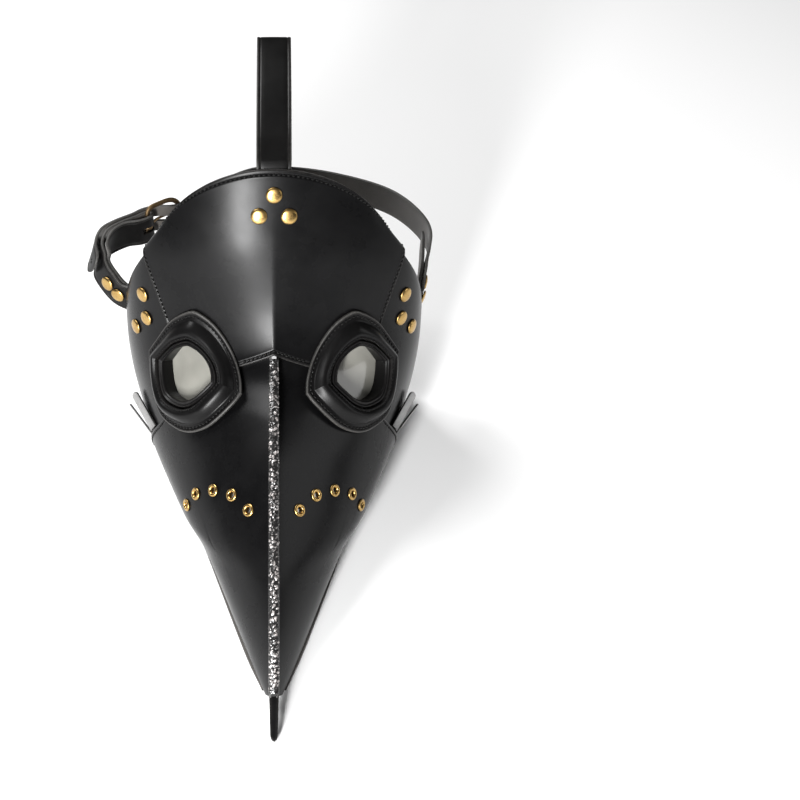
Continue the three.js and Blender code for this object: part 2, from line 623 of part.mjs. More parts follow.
// The short strap: on from the left tab's outer layer, round the buckle's bar and back inside.
function shortStrap() {
  const fold = BUCKLE.wire + 0.6 + STRAP_THICK / 2;
  const apart = 1.7;
  const turn = [-0.5, -0.25, 0, 0.25, 0.5].map((f) => xyz(buckleAt(Math.cos(f * Math.PI) * fold,
    -Math.sin(f * Math.PI) * fold)));
  const y = BAND_FLEX.y + HINGE_GAP;
  return curve([[-116.4, y, 117.2], ...[0, 1, 2, 3].map((i) => besideLeft(i, apart)),
    xyz(buckleAt(-7, fold * 0.9)), ...turn, xyz(buckleAt(-7, -fold * 0.9)),
    ...[3, 2, 1, 0].map((i) => besideLeft(i, -apart)), [-112.8, y + 1.2, 117.6]], 44);
}

const PRONG_SLOT = { middle: 7.5, reach: 18, half: 2.1 };
const TAIL_HOLES = [[1, 6.0], [0, 6.4]];   // adjustment holes: point of LEFT_LINE, distance outside it
const TAIL_HOLE_RADIUS = 1.7;

const tailHoles = () => TAIL_HOLES.map(([i, o]) => {
  const out = vec(...besideLeft(i, 1)).sub(vec(...besideLeft(i, 0)));
  return drill({ point: vec(...besideLeft(i, o)), out }, TAIL_HOLE_RADIUS);
});

function buckleSlot(reach, half) {
  const box = new THREE.BoxGeometry(reach, 24, 2 * half);
  const turn = new THREE.Matrix4().makeBasis(BUCKLE.ahead, BUCKLE.out, UP);
  return cleaned(box.applyMatrix4(turn));
}

function slotAt(s, o, reach, half) {
  const p = buckleAt(s, o);
  return buckleSlot(reach, half).translate(p.x, p.y, p.z);
}

function buckleFrame() {
  const { length, height, wire } = BUCKLE;
  const loops = steps(20).slice(0, -1).map((q) => {
    const a = 2 * Math.PI * q;
    const round = (c) => Math.sign(c) * Math.abs(c) ** (Math.cos(a) > 0 ? 0.35 : 0.8);
    const at = buckleAt(length / 2 - round(Math.cos(a)) * length / 2, 0)
      .add(vec(0, 0, round(Math.sin(a)) * height / 2));
    const away = BUCKLE.ahead.clone().multiplyScalar(-Math.cos(a)).add(vec(0, 0, Math.sin(a)));
    return steps(8).slice(0, -1).map((w) => at.clone()
      .addScaledVector(away, Math.cos(2 * Math.PI * w) * wire)
      .addScaledVector(BUCKLE.out, Math.sin(2 * Math.PI * w) * wire));
  });
  return ringOf(loops);
}

// Prong: an eye round the hinge bar and a finger that rests on the frame's far side.
function buckleProng() {
  const { wire, length } = BUCKLE;
  const half = 1.3;
  const eye = ringOf(steps(10).slice(0, -1).map((q) => {
    const a = 2 * Math.PI * q;
    return [[wire + 0.4, -half], [wire + 0.4, half], [wire + 1.9, half], [wire + 1.9, -half]]
      .map(([r, z]) => buckleAt(Math.cos(a) * r, Math.sin(a) * r).add(vec(0, 0, z)));
  }));
  const spine = [[wire + 1.0, 0.9, 1.2], [9, 3.4, 1.1], [length, wire + 1.7, 1.0],
    [length + 2.5, wire + 1.2, 0.7]];
  const finger = barOf(spine
    .map(([s, o, r]) => [[-1, -1], [1, -1], [1, 1], [-1, 1]]
      .map(([a, b]) => buckleAt(s, o + a * r * 0.9).add(vec(0, 0, b * r)))));
  return fromManifold(toManifold(eye).add(toManifold(finger)));
}

// ---- Crown strap ----
const CROWN = { flex: [254.2, 229.6], fold: [337.4, 262.6] };   // (y, z) of its two flex lines
const LOOP = { y: 380.6, low: 114.5, half: 4.5 };                  // the loop round the headband's middle

function crownAnchor() {
  const wide = (s) => 0.098 + 0.035 * smooth(0.1, 0.5, s);
  const face = (h) => steps(6).map((s) => steps(6)
    .map((w) => shell(0.004 + 0.135 * s, (2 * w - 1) * wide(s), h)));
  return cut(plate(face(ANCHOR_OUTER), face(ANCHOR_OUTER - STRAP_THICK)), foreheadHoles());
}

const inPlane = (points) => points.map(([y, z]) => [0, y, z]);

function crownFront() {
  const { flex, fold } = CROWN;
  return strip(curve(inPlane([[flex[0] + 0.5, flex[1] + 0.5], [266, 239.5], [288, 250.5], [312, 258.5],
    [fold[0] - 0.6, fold[1] - 0.1]]), 14), ACROSS);
}

function crownBack() {
  const { fold } = CROWN;
  const { y, low, half } = LOOP;
  return strip(curve(inPlane([[fold[0] + 0.6, fold[1] - 0.1], [341.5, 261], [345, 256.5], [350, 238],
    [360, 205], [372, 172], [y + 2.2, 152], [y + half, 138], [y + half, 122], [y + half * 0.7, low - 2.6],
    [y, low - 4.2], [y - half * 0.7, low - 2.6], [y - half, 122], [y - half, 136], [y - 1.6, 150],
    [y - 6.4, 162]]), 56), ACROSS);
}

// ---- Assembly ----
add('forehead_panel', foreheadPanel(), LEATHER_BLACK);
for (const side of SIDES) {
  add(`${side.name}_cheek_panel`, cheekPanel(side), LEATHER_BLACK);
  add(`${side.name}_beak_panel`, beakPanel(side), LEATHER_BLACK);
  addEye(side);
  GILLS.forEach((gill, i) => add(`${side.name}_gill_flap_${i + 1}`, gillFlap(side.sign, gill),
    LEATHER_BLACK));
  EYELETS.forEach(([t, u], i) => add(`${side.name}_eyelet_${i + 1}`,
    eyelet(seatOnShell(t, side.sign * u), beakOuter(t, u)), BRASS));
  for (const { name, t, u } of CHEEK_RIVETS) {
    add(`${side.name}_${name}`, rivet(seatOnCheek(side, t, u), 0, TAB_OUTER - STRAP_THICK), BRASS);
  }
  for (const { name, at } of TAIL_RIVETS) {
    add(`${side.name}_${name}`, rivet(tailFrame(side, at), 0.7, -TAB_PLY - STRAP_THICK - 1), BRASS);
  }
  add(`${side.name}_outer_tab`, tabPlate(side, TAB.from, TAB_OUTER), STRAP_BLACK);
}
add('ridge_welt', ridgeWelt(), RAW_EDGE);
add('beak_underside_panel', beakUnderside(), LEATHER_BLACK);
add('beak_tip_tab', tipTab(), LEATHER_BLACK);
for (const { name, t, u } of FOREHEAD_RIVETS) {
  add(name, rivet(seatOnShell(t, u), 0, ANCHOR_OUTER - STRAP_THICK), BRASS);
}
const [LEFT, RIGHT] = SIDES;
add('left_inner_tab', tabPlate(LEFT, TAB.second, TAB_INNER), STRAP_BLACK);
add('right_backing_tab', tabPlate(RIGHT, TAB.second, TAB_INNER, TONGUE), STRAP_BLACK);
add('long_strap', cut(strip(longStrap(), leaning),
  [slotAt(PRONG_SLOT.middle, 3, PRONG_SLOT.reach, PRONG_SLOT.half), ...tailHoles()]), STRAP_BLACK);
add('crown_strap_anchor', crownAnchor(), STRAP_BLACK);
add('crown_strap_front', crownFront(), STRAP_BLACK);
add('crown_strap_back', crownBack(), STRAP_BLACK);
add('buckle_frame', buckleFrame(), BRONZE);
add('buckle_prong', buckleProng(), BRONZE);
add('short_strap', cut(strip(shortStrap(), leaning), [slotAt(0, 0, 12, 2.1)]), STRAP_BLACK);

mask.position.y = -REST_Y;

export default mask;
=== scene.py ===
"""Plague doctor mask: the visual model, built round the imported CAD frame, in metres."""
import math
import random

import bmesh
import bpy
import numpy as np
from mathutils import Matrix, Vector, noise


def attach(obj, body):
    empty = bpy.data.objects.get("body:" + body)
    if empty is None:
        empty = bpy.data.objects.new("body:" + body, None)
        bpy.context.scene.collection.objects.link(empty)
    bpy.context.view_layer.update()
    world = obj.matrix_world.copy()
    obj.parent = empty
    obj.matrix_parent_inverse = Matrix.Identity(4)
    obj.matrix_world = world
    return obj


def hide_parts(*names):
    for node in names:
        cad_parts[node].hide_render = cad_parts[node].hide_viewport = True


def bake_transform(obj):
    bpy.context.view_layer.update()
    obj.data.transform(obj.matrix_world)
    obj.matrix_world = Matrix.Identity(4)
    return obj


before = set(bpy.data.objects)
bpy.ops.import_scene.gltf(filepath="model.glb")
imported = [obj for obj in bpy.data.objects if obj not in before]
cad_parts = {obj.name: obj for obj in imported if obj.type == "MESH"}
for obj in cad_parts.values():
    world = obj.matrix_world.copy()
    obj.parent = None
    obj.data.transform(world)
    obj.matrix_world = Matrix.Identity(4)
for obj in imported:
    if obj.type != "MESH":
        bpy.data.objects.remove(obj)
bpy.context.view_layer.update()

random.seed(7)

# The shell's surface, in millimetres before the part is moved to its origin. t runs from the
# forehead's top (0) to the beak's tip (1), and u from the ridge (0) to the lower rear edge (1).
REST_Y = 125.0
LEATHER = 1.8
GAP = 0.3
LAYER = LEATHER + 1.1
LAP = 0.03
BEAK_END = 0.990
NOSE_EDGE = 0.333
CORNER_T, CORNER_U = 0.413, 0.40
JAW_END = 0.69
SIDES = {"left": -1, "right": 1}
STRAP_WIDTH = 21.0
STRAP_THICK = 2.0
SHARP = 38.0
# at, ridge y z, edge x y z, turn, flat, belly
SECTIONS = np.array([
    [0.00, 250, 228, 75, 260, 162, 80, 0.00, 0.0],
    [0.15, 234, 188, 97, 272, 126, 84, 0.05, 0.0],
    [0.33, 205, 121, 103, 281, 78, 86, 0.40, 2.0],
    [0.47, 165, 102, 100, 286, 34, 86, 0.60, 6.0],
    [0.60, 126, 81, 88, 280, 2.9, 84, 0.70, 12.0],
    [0.74, 90, 59, 62, 195, 3.0, 80, 0.78, 8.0],
    [0.82, 72, 48, 48.5, 160, 3.0, 76, 0.80, 3.5],
    [0.92, 45, 29, 19, 72, 3.0, 70, 0.85, 0.5],
    [1.00, 24, 11, 3.4, 30, 3.0, 60, 1.00, 0.0],
])
AT, ROWS = SECTIONS[:, 0], SECTIONS[:, 1:]
NEXT = np.minimum(np.arange(len(AT)) + 1, len(AT) - 1)
BEFORE = np.maximum(np.arange(len(AT)) - 1, 0)
SLOPES = (ROWS[NEXT] - ROWS[BEFORE]) / (AT[NEXT] - AT[BEFORE])[:, None]


def unit(v):
    v = np.asarray(v, float)
    return v / np.linalg.norm(v, axis=-1, keepdims=True)


def run_of(points):
    """How far along a line each of its points lies."""
    return np.concatenate([[0], np.cumsum(np.linalg.norm(np.diff(points, axis=0), axis=1))])


def smooth(a, b, x):
    s = np.clip((np.asarray(x, float) - a) / (b - a), 0, 1)
    return s * s * (3 - 2 * s)


def section(t):
    i = np.clip(np.searchsorted(AT, t, side="right") - 1, 0, len(AT) - 2)
    h = AT[i + 1] - AT[i]
    s = ((t - AT[i]) / h)[..., None]
    h = h[..., None]
    return ((2 * s**3 - 3 * s**2 + 1) * ROWS[i] + (s**3 - 2 * s**2 + s) * h * SLOPES[i]
            + (3 * s**2 - 2 * s**3) * ROWS[i + 1] + (s**3 - s**2) * h * SLOPES[i + 1])


def on_shell(t, u):
    t, u = np.broadcast_arrays(np.asarray(t, float), np.asarray(u, float))
    ry, rz, ex, ey, ez, turn, flat, belly = np.moveaxis(section(t), -1, 0)
    full = np.radians(turn)
    w = np.abs(u)
    a = full * w
    x = ex * np.sin(a) / np.sin(full) + belly * np.sin(np.pi * w)
    g = (1 - flat) * (1 - np.cos(a)) / (1 - np.cos(full)) + flat * w
    return np.stack([np.where(u < 0, -x, x), ry + (ey - ry) * g, rz + (ez - rz) * g], -1)


def shell_normal(t, u):
    t, u = np.broadcast_arrays(np.asarray(t, float), np.asarray(u, float))
    e = 1e-3
    w = np.abs(u)
    du = on_shell(t, w + e) - on_shell(t, np.maximum(w - e, 0))
    dt = on_shell(np.minimum(t + e, 1), w) - on_shell(np.maximum(t - e, 0), w)
    n = np.cross(dt, du)
    n[..., 0] = np.where(w < 1e-6, 0, n[..., 0] * np.where(u < 0, -1, 1))
    return unit(n)


def shell(t, u, h):
    return on_shell(t, u) + shell_normal(t, u) * np.asarray(h, float)[..., None]


def cheek_point(side, t, u, h):
    """Point over the cheek's outer face; u is positive, and the side gives the sign."""
    return shell(t, SIDES[side] * np.asarray(u, float), np.asarray(h, float) - LAYER)


def seam_round(b):
    return CORNER_U + (1 - CORNER_U) * b


def forehead_seam(b):
    return CORNER_T * (1 - b ** (1 / 1.7))


def jaw_seam(b):
    return CORNER_T + (JAW_END - CORNER_T) * b ** 0.45


def beak_outer(t, u):
    return -LAYER * (1 - smooth(0.25, 0.42, np.abs(u))) * (1 - smooth(0.43, 0.56, t))


def beak_start(u):
    u = np.asarray(u, float)
    return np.where(u < CORNER_U, NOSE_EDGE + 0.2 * u - LAP,
                    jaw_seam(np.clip((u - CORNER_U) / (1 - CORNER_U), 0, 1)))


# The leaf outline of an eye, on the shell: q goes round from 0 to 1, and k scales it.
# Its two arcs as (t, u): over the top from the inner corner to the outer one, and back below.
LEAF_OVER = np.array([
    (0.4215, 0.1166), (0.3893, 0.1212), (0.3495, 0.1418), (0.3150, 0.1778), (0.2855, 0.2316),
    (0.2667, 0.2936), (0.2607, 0.3513), (0.2783, 0.4395), (0.3080, 0.4973), (0.3536, 0.5615)])
LEAF_UNDER = np.array([
    (0.3536, 0.5615), (0.4209, 0.5440), (0.4809, 0.5149), (0.5166, 0.4700), (0.5316, 0.3828),
    (0.5283, 0.3148), (0.5063, 0.2441), (0.4737, 0.1861), (0.4440, 0.1420), (0.4215, 0.1166)])
LEAF_MID = np.array([0.389, 0.345])
EYE_OPENING = 0.66


def leaf(q, k):
    q = np.asarray(q, float) % 1.0
    low = (q >= 0.5)[..., None]
    last = len(LEAF_OVER) - 1
    s = (2 * q % 1.0) * last
    i = np.minimum(last - 1, np.floor(s).astype(int))
    f = (s - i)[..., None]
    a, b, c, d = (np.where(low, LEAF_UNDER[j], LEAF_OVER[j])
                  for j in (np.maximum(0, i - 1), i, i + 1, np.minimum(last, i + 2)))
    p = b + 0.5 * (f * (c - a) + f**2 * (2 * a - 5 * b + 4 * c - d) + f**3 * (3 * b - a - 3 * c + d))
    p = LEAF_MID + (p - LEAF_MID) * k
    return p[..., 0], p[..., 1]


def leaf_point(sign, q, k, h):
    t, u = leaf(q, k)
    return shell(t, sign * u, h)


def seat_on_shell(t, u):
    return on_shell(t, u), shell_normal(t, u)


def seat_on_cheek(side, t, u):
    e = 0.004
    across = cheek_point(side, t, u + e, 0) - cheek_point(side, t, u - e, 0)
    down = cheek_point(side, t + e, u, 0) - cheek_point(side, t - e, u, 0)
    n = np.cross(down, across) * SIDES[side]
    return cheek_point(side, t, u, 0), unit(n)


# Mesh helpers
def to_row(points):
    """Millimetres to metres, with the origin moved to where the part stands."""
    p = np.asarray(points, float).reshape(-1, 3).copy()
    p[:, 1] -= REST_Y
    return p * 0.001


def quads(rows, cols, start=0, wrap_rows=False, wrap_cols=False, flip=False):
    r = np.arange(rows if wrap_rows else rows - 1)
    c = np.arange(cols if wrap_cols else cols - 1)
    i, j = np.meshgrid(r, c, indexing="ij")
    i2, j2 = (i + 1) % rows, (j + 1) % cols
    f = np.stack([i * cols + j, i2 * cols + j, i2 * cols + j2, i * cols + j2], -1).reshape(-1, 4)
    return (f[:, ::-1] if flip else f) + start


def tube(rings, sides):
    """Faces of a tube of rings, capped at both ends."""
    last = (rings - 1) * sides
    return [*quads(rings, sides, wrap_cols=True), range(sides)[::-1], range(last, last + sides)]


class Build:
    """Collects vertices, faces, face materials and a per-vertex value for worn spots, tarnish and painted
    light, then makes one object.
    """

    def __init__(self):
        self.v, self.f, self.m, self.w, self.n = [], [], [], [], 0

    def put(self, points, faces, mat=0, wear_and_painted_light=0.0):
        p = to_row(points)
        self.v.append(p)
        self.w.append(np.broadcast_to(np.reshape(wear_and_painted_light, -1) if np.ndim(wear_and_painted_light) else wear_and_painted_light, (len(p),)))
        self.f += [tuple(int(x) + self.n for x in q) for q in faces]
        self.m += [mat] * len(faces) if np.ndim(mat) == 0 else list(mat)
        self.n += len(p)

    def make(self, name, materials, sharp=SHARP, outward=True):
        mesh = bpy.data.meshes.new(name)
        mesh.from_pydata(np.concatenate(self.v).tolist(), [], self.f)
        mesh.polygons.foreach_set("material_index", np.array(self.m, np.int32))
        for mat in materials:
            mesh.materials.append(mat)
        wear_and_painted_light = mesh.attributes.new("wear_and_painted_light", "FLOAT", "POINT")
        wear_and_painted_light.data.foreach_set("value", np.concatenate(self.w).astype(np.float32))
        obj = bpy.data.objects.new(name, mesh)
        bpy.context.scene.collection.objects.link(obj)
        if outward:
            face_out(mesh)
        finish_shading(mesh, sharp)
        return obj


def face_out(mesh):
    bm = bmesh.new()
    bm.from_mesh(mesh)
    bmesh.ops.recalc_face_normals(bm, faces=bm.faces)
    bm.to_mesh(mesh)
    bm.free()


def finish_shading(mesh, sharp=SHARP):
    """Smooth faces, with edges over this many degrees left sharp."""
    mesh.polygons.foreach_set("use_smooth", np.ones(len(mesh.polygons), bool))
    mesh.set_sharp_from_angle(angle=math.radians(sharp))
    mesh.update()


def cut(obj, cutters):
    """Cuts closed shapes out of a closed piece, and removes the cutters."""
    for c in cutters:
        mod = obj.modifiers.new("cut", "BOOLEAN")
        mod.operation, mod.solver, mod.object = "DIFFERENCE", "MANIFOLD", c
    dg = bpy.context.evaluated_depsgraph_get()
    dg.update()
    mesh = bpy.data.meshes.new_from_object(obj.evaluated_get(dg))
    old = obj.data
    obj.modifiers.clear()
    obj.data = mesh
    bpy.data.meshes.remove(old)
    mesh.name = obj.name
    for c in cutters:
        data = c.data
        bpy.data.objects.remove(c)
        bpy.data.meshes.remove(data)
    finish_shading(mesh)


def prism(loops):
    """A closed cutter between two loops of points."""
    n = len(loops[0])
    faces = [range(n)[::-1], range(n, 2 * n)]
    faces += [(i, (i + 1) % n, n + (i + 1) % n, n + i) for i in range(n)]
    build = Build()
    build.put(np.concatenate(loops), faces)
    return build.make("cutter", [])


def eye_cutter(sign):
    """The opening behind an eye, through every layer of leather."""
    q = np.arange(120) / 120
    return prism([leaf_point(sign, q, EYE_OPENING, h) for h in (-9.0, 7.0)])


def frame_of(out):
    out = np.asarray(out, float)
    side = unit(np.cross(out, [0.0, 0.0, 1.0] if abs(out[2]) < 0.9 else [1.0, 0.0, 0.0]))
    return side, np.cross(out, side)


def ring_points(centre, out, radius, h, n):
    a = 2 * np.pi * np.arange(n) / n
    x, y = frame_of(out)
    return (np.asarray(centre) + np.asarray(out) * h
            + radius * (np.cos(a)[:, None] * x + np.sin(a)[:, None] * y))


def lathe(build, profile, seat, n, wear_and_painted_light):
    """Turns a closed profile of (radius, height) round a seat's axis."""
    pts = np.concatenate([ring_points(*seat, r, h, n) for r, h in profile])
    build.put(pts, quads(len(profile), n, wrap_rows=True, wrap_cols=True), 0, np.repeat(wear_and_painted_light, n))


def drill(seat, radius, n=24, reach=13.0):
    return prism([ring_points(*seat, radius, h, n) for h in (-reach, reach)])


# Rows of a panel near an edge, in millimetres: they carry the rounded rim and the sewn groove.
NEAR = np.array([0, 0.12, 0.35, 0.7, 1.2, 1.9, 2.7, 3.2, 3.6, 4.0, 4.4, 4.8, 5.4, 6.6])
INSET = 4.0
INSET_ROW = 9


def rim(d):
    return -0.42 * np.exp(-(d / 0.35) ** 1.3)


def groove(d, at=INSET, deep=0.72, wide=0.75):
    return -deep * np.exp(-((d - at) / wide) ** 2) + 0.14 * np.exp(-((d - at) / 2.2) ** 2)


def spread(lengths, count):
    """Shares along lines of these lengths: fine at both ends, even between. Also each row's distances."""
    lengths = np.asarray(lengths, float)[:, None]
    scale = np.minimum(1.0, 0.42 * lengths / NEAR[-1])
    near = NEAR[None] * scale / lengths
    even = np.linspace(0, 1, count + 2)[1:-1][None]
    middle = near[:, -1:] + (1 - 2 * near[:, -1:]) * even
    share = np.concatenate([near, middle, 1 - near[:, ::-1]], 1)
    return share, share * lengths, (1 - share) * lengths


def slab(name, outer, inner, skin, wear_and_painted_light, mats=(0, 1, 2), sharp=SHARP):
    """A closed plate between two grids of points. mats are for its outer face, inner face and rim."""
    r, c = outer.shape[:2]
    pts = np.concatenate([outer.reshape(-1, 3), inner.reshape(-1, 3)])
    top = quads(r, c)
    bottom = quads(r, c, start=r * c, flip=True)
    loop = ([(0, j) for j in range(c)] + [(i, c - 1) for i in range(1, r)]
            + [(r - 1, j) for j in range(c - 2, -1, -1)] + [(i, 0) for i in range(r - 2, 0, -1)])
    ids = np.array([i * c + j for i, j in loop])
    nxt = np.roll(ids, -1)
    side = np.stack([ids, nxt, nxt + r * c, ids + r * c], -1)
    mat = [mats[0]] * len(top) + [mats[1]] * len(bottom) + [mats[2]] * len(side)
    w = np.concatenate([np.broadcast_to(wear_and_painted_light, (r, c)).reshape(-1)] * 2)
    build = Build()
    build.put(pts, np.concatenate([top, bottom, side]), mat, w)
    return build.make(name, skin, sharp)


def lengths_of(grid, axis):
    return np.linalg.norm(np.diff(grid, axis=axis), axis=-1).sum(axis=axis)


# Stitching: small twisted thread segments laid along a line on the leather
def along(points, run, at):
    """The points of a line at these distances along it."""
    return np.stack([np.interp(at, run, points[:, c]) for c in range(3)], -1)


THREADS = Build()


def stitches(points, normals, pitch=2.9, share=0.70, radius=0.55, lift=0.16, start=1.0, stop=1.0):
    """Threads laid end to end along a line, each bowed down into the leather at its ends."""
    points = np.asarray(points, float)
    run = run_of(points)
    total = run[-1] - start - stop
    count = max(1, int(round(total / pitch)))
    at = start + (np.arange(count) + 0.5) * total / count
    ahead = unit(along(points, run, at + 0.5) - along(points, run, at - 0.5))
    rings, sides = 7, 8
    x = np.linspace(-1, 1, rings)
    bow = radius * 0.9 * (0.45 - x**2)
    thick = radius * np.sqrt(np.clip(1 - np.abs(x) ** 5, 0.02, 1))
    a = 2 * np.pi * np.arange(sides) / sides
    half = total / count * share / 2
    for m, d, n in zip(along(points, run, at), ahead, unit(along(np.asarray(normals), run, at))):
        side = unit(np.cross(n, d))
        up = np.cross(d, side)
        lean = side * 0.14 * random.uniform(0.6, 1.4)
        centre = m + up * lift + (d + lean)[None] * (x * half)[:, None] + up[None] * bow[:, None]
        ring = (np.cos(a)[None, :, None] * side + np.sin(a)[None, :, None] * up) * thick[:, None, None]
        THREADS.put((centre[:, None] + ring).reshape(-1, 3), tube(rings, sides))


# Materials
class Look:
    """A Principled material with object coordinates and short helpers for its nodes."""

    def __init__(self, name, **sockets):
        self.mat = bpy.data.materials.new(name)
        self.mat.use_nodes = True
        self.tree = self.mat.node_tree
        self.bsdf = next(n for n in self.tree.nodes if n.type == "BSDF_PRINCIPLED")
        for key, value in sockets.items():
            self.bsdf.inputs[key.replace("_", " ")].default_value = value
        self.coords = self.node("TexCoord").outputs["Object"]

    def node(self, kind, **values):
        n = self.tree.nodes.new("ShaderNode" + kind)
        for key, value in values.items():
            if hasattr(n, key):
                setattr(n, key, value)
            else:
                n.inputs[key.replace("_", " ")].default_value = value
        return n

    def link(self, a, b):
        self.tree.links.new(a, b)

    def scaled(self, scale):
        m = self.node("Mapping")
        m.inputs["Scale"].default_value = scale
        self.link(self.coords, m.inputs["Vector"])
        return m.outputs["Vector"]

    def noise(self, scale, detail=3.0, rough=0.5, distortion=0.0, vector=None):
        n = self.node("TexNoise", Scale=scale, Detail=detail, Roughness=rough, Distortion=distortion)
        self.link(vector or self.coords, n.inputs["Vector"])
        return n.outputs["Fac"]

    def cells(self, scale, feature="F1"):
        n = self.node("TexVoronoi", feature=feature, Scale=scale)
        self.link(self.coords, n.inputs["Vector"])
        return n.outputs["Distance"]

    def ramp(self, value, stops):
        n = self.node("ValToRGB")
        el = n.color_ramp.elements
        while len(el) < len(stops):
            el.new(0.5)
        for e, (pos, col) in zip(el, stops):
            e.position = pos
            e.color = (*col, 1.0)
        self.link(value, n.inputs["Fac"])
        return n.outputs["Color"]

    def map(self, value, a, b, c=0.0, d=1.0):
        n = self.node("MapRange")
        for key, x in zip(("From Min", "From Max", "To Min", "To Max"), (a, b, c, d)):
            n.inputs[key].default_value = x
        self.link(value, n.inputs["Value"])
        return n.outputs["Result"]

    def math(self, op, a, b):
        n = self.node("Math", operation=op)
        for i, x in enumerate((a, b)):
            if isinstance(x, (int, float)):
                n.inputs[i].default_value = x
            else:
                self.link(x, n.inputs[i])
        return n.outputs["Value"]

    def mix(self, fac, a, b):
        n = self.node("Mix", data_type="RGBA")
        for sock, x in ((n.inputs[0], fac), (n.inputs[6], a), (n.inputs[7], b)):
            if isinstance(x, tuple):
                sock.default_value = (*x, 1.0)
            else:
                self.link(x, sock)
        return n.outputs[2]

    def attribute(self, name):
        return self.node("Attribute", attribute_name=name).outputs["Fac"]

    def set(self, key, value):
        self.link(value, self.bsdf.inputs[key])

    def bump(self, height, strength, distance, after=None):
        n = self.node("Bump", Strength=strength, Distance=distance)
        self.link(height, n.inputs["Height"])
        if after is not None:
            self.link(after, n.inputs["Normal"])
        return n.outputs["Normal"]


def leather_look(name, dark, light, rough, grain):
    k = Look(name, Specular_IOR_Level=0.085, Coat_Weight=0.12, Coat_Roughness=0.34)
    pores = k.cells(1250.0)
    fine = k.noise(2600.0, 2.0)
    cloud = k.noise(38.0, 4.0, 0.6)
    drift = k.noise(9.0, 2.0)
    creases = k.cells(520.0, "DISTANCE_TO_EDGE")
    wear_and_painted_light = k.attribute("wear_and_painted_light")
    body = k.mix(k.map(cloud, 0.3, 0.75), dark, light)
    worn = k.math("MULTIPLY", wear_and_painted_light, k.map(k.noise(420.0, 4.0, 0.7), 0.35, 0.7, 0.15))
    k.set("Base Color", k.mix(k.map(worn, 0.0, 1.0, 0.0, 0.75), body, (0.045, 0.042, 0.040)))
    r = k.map(k.math("ADD", k.math("MULTIPLY", cloud, 0.6), k.math("MULTIPLY", drift, 0.4)),
              0.3, 0.7, rough - 0.05, rough + 0.07)
    k.set("Roughness", k.math("ADD", r, k.math("MULTIPLY", worn, 0.12)))
    n = k.bump(k.noise(24.0, 3.0, 0.5), 0.22, 0.0012)
    n = k.bump(k.map(creases, 0.0, 0.09), grain * 0.55, 0.00012, n)
    n = k.bump(pores, grain * 2.2, 0.00016, n)
    k.set("Normal", k.bump(fine, grain * 0.6, 0.00006, n))
    return k.mat


def edge_look():
    k = Look("cut_edge", Specular_IOR_Level=0.4, Coat_Weight=0.1, Coat_Roughness=0.45)
    fibre = k.noise(900.0, 5.0, 0.7, 0.6)
    k.set("Base Color", k.ramp(fibre, [(0.3, (0.012, 0.0115, 0.011)), (0.62, (0.042, 0.040, 0.037)),
                                       (0.85, (0.10, 0.095, 0.089))]))
    k.set("Roughness", k.map(fibre, 0.3, 0.8, 0.42, 0.72))
    k.set("Normal", k.bump(fibre, 0.5, 0.0003))
    return k.mat


def flesh_look():
    """Suede-like flesh side of the leather, seen from inside the mask."""
    k = Look("flesh_side", Specular_IOR_Level=0.25, Sheen_Weight=0.25, Sheen_Roughness=0.6)
    nap = k.noise(1500.0, 5.0, 0.7, 0.4)
    cloud = k.noise(30.0, 4.0, 0.6)
    body = k.mix(k.map(cloud, 0.3, 0.7), (0.030, 0.027, 0.024), (0.060, 0.054, 0.048))
    k.set("Base Color", k.mix(k.map(nap, 0.35, 0.75, 0.0, 0.5), body, (0.10, 0.092, 0.083)))
    k.set("Roughness", k.map(nap, 0.3, 0.7, 0.8, 0.95))
    k.set("Normal", k.bump(nap, 0.5, 0.0003))
    return k.mat


def thread_look():
    k = Look("thread", Specular_IOR_Level=0.16)
    ply = k.noise(1900.0, 3.0, 0.6, 1.2)
    k.set("Base Color", k.mix(k.map(ply, 0.35, 0.7), (0.0025, 0.0025, 0.0025), (0.013, 0.0125, 0.012)))
    k.set("Roughness", k.map(ply, 0.3, 0.7, 0.26, 0.44))
    k.set("Normal", k.bump(ply, 0.6, 0.0003))
    return k.mat


def brass_look(name, bright, dull, rough):
    k = Look(name, Metallic=1.0)
    patch = k.noise(210.0, 5.0, 0.65)
    fine = k.noise(1700.0, 4.0, 0.6)
    wear_and_painted_light = k.attribute("wear_and_painted_light")
    tone = k.mix(k.map(patch, 0.42, 0.72, 0.0, 0.8), bright, dull)
    k.set("Base Color", k.mix(k.map(wear_and_painted_light, 0.0, 1.0, 0.0, 0.85), tone, tuple(c * 0.28 for c in dull)))
    k.set("Roughness", k.math("ADD", k.map(patch, 0.3, 0.7, rough, rough + 0.16),
                              k.math("MULTIPLY", wear_and_painted_light, 0.2)))
    n = k.bump(patch, 0.15, 0.0003)
    k.set("Normal", k.bump(fine, 0.12, 0.00006, n))
    return k.mat


def raw_edge_look():
    """Crinkled, shiny raw edge of the ridge: crests painted bright silver over nearly black gaps, partly the
    edge's own silvery fibres and partly a painted highlight.
    """
    k = Look("raw_edge", Specular_IOR_Level=0.6, Coat_Weight=0.4, Coat_Roughness=0.16)
    crest = k.attribute("wear_and_painted_light")
    fleck = k.noise(260.0, 3.0, 0.6, 0.8)
    bright = k.math("MULTIPLY", k.map(crest, 0.50, 0.80), k.map(fleck, 0.42, 0.56))
    tint = k.mix(k.noise(160.0, 2.0), (0.52, 0.46, 0.44), (0.64, 0.62, 0.61))
    k.set("Base Color", k.mix(bright, (0.008, 0.0075, 0.0075), tint))
    k.set("Metallic", k.math("MULTIPLY", bright, 0.85))
    k.set("Roughness", k.map(fleck, 0.3, 0.7, 0.20, 0.42))
    k.set("Normal", k.bump(fleck, 0.8, 0.0005))
    return k.mat


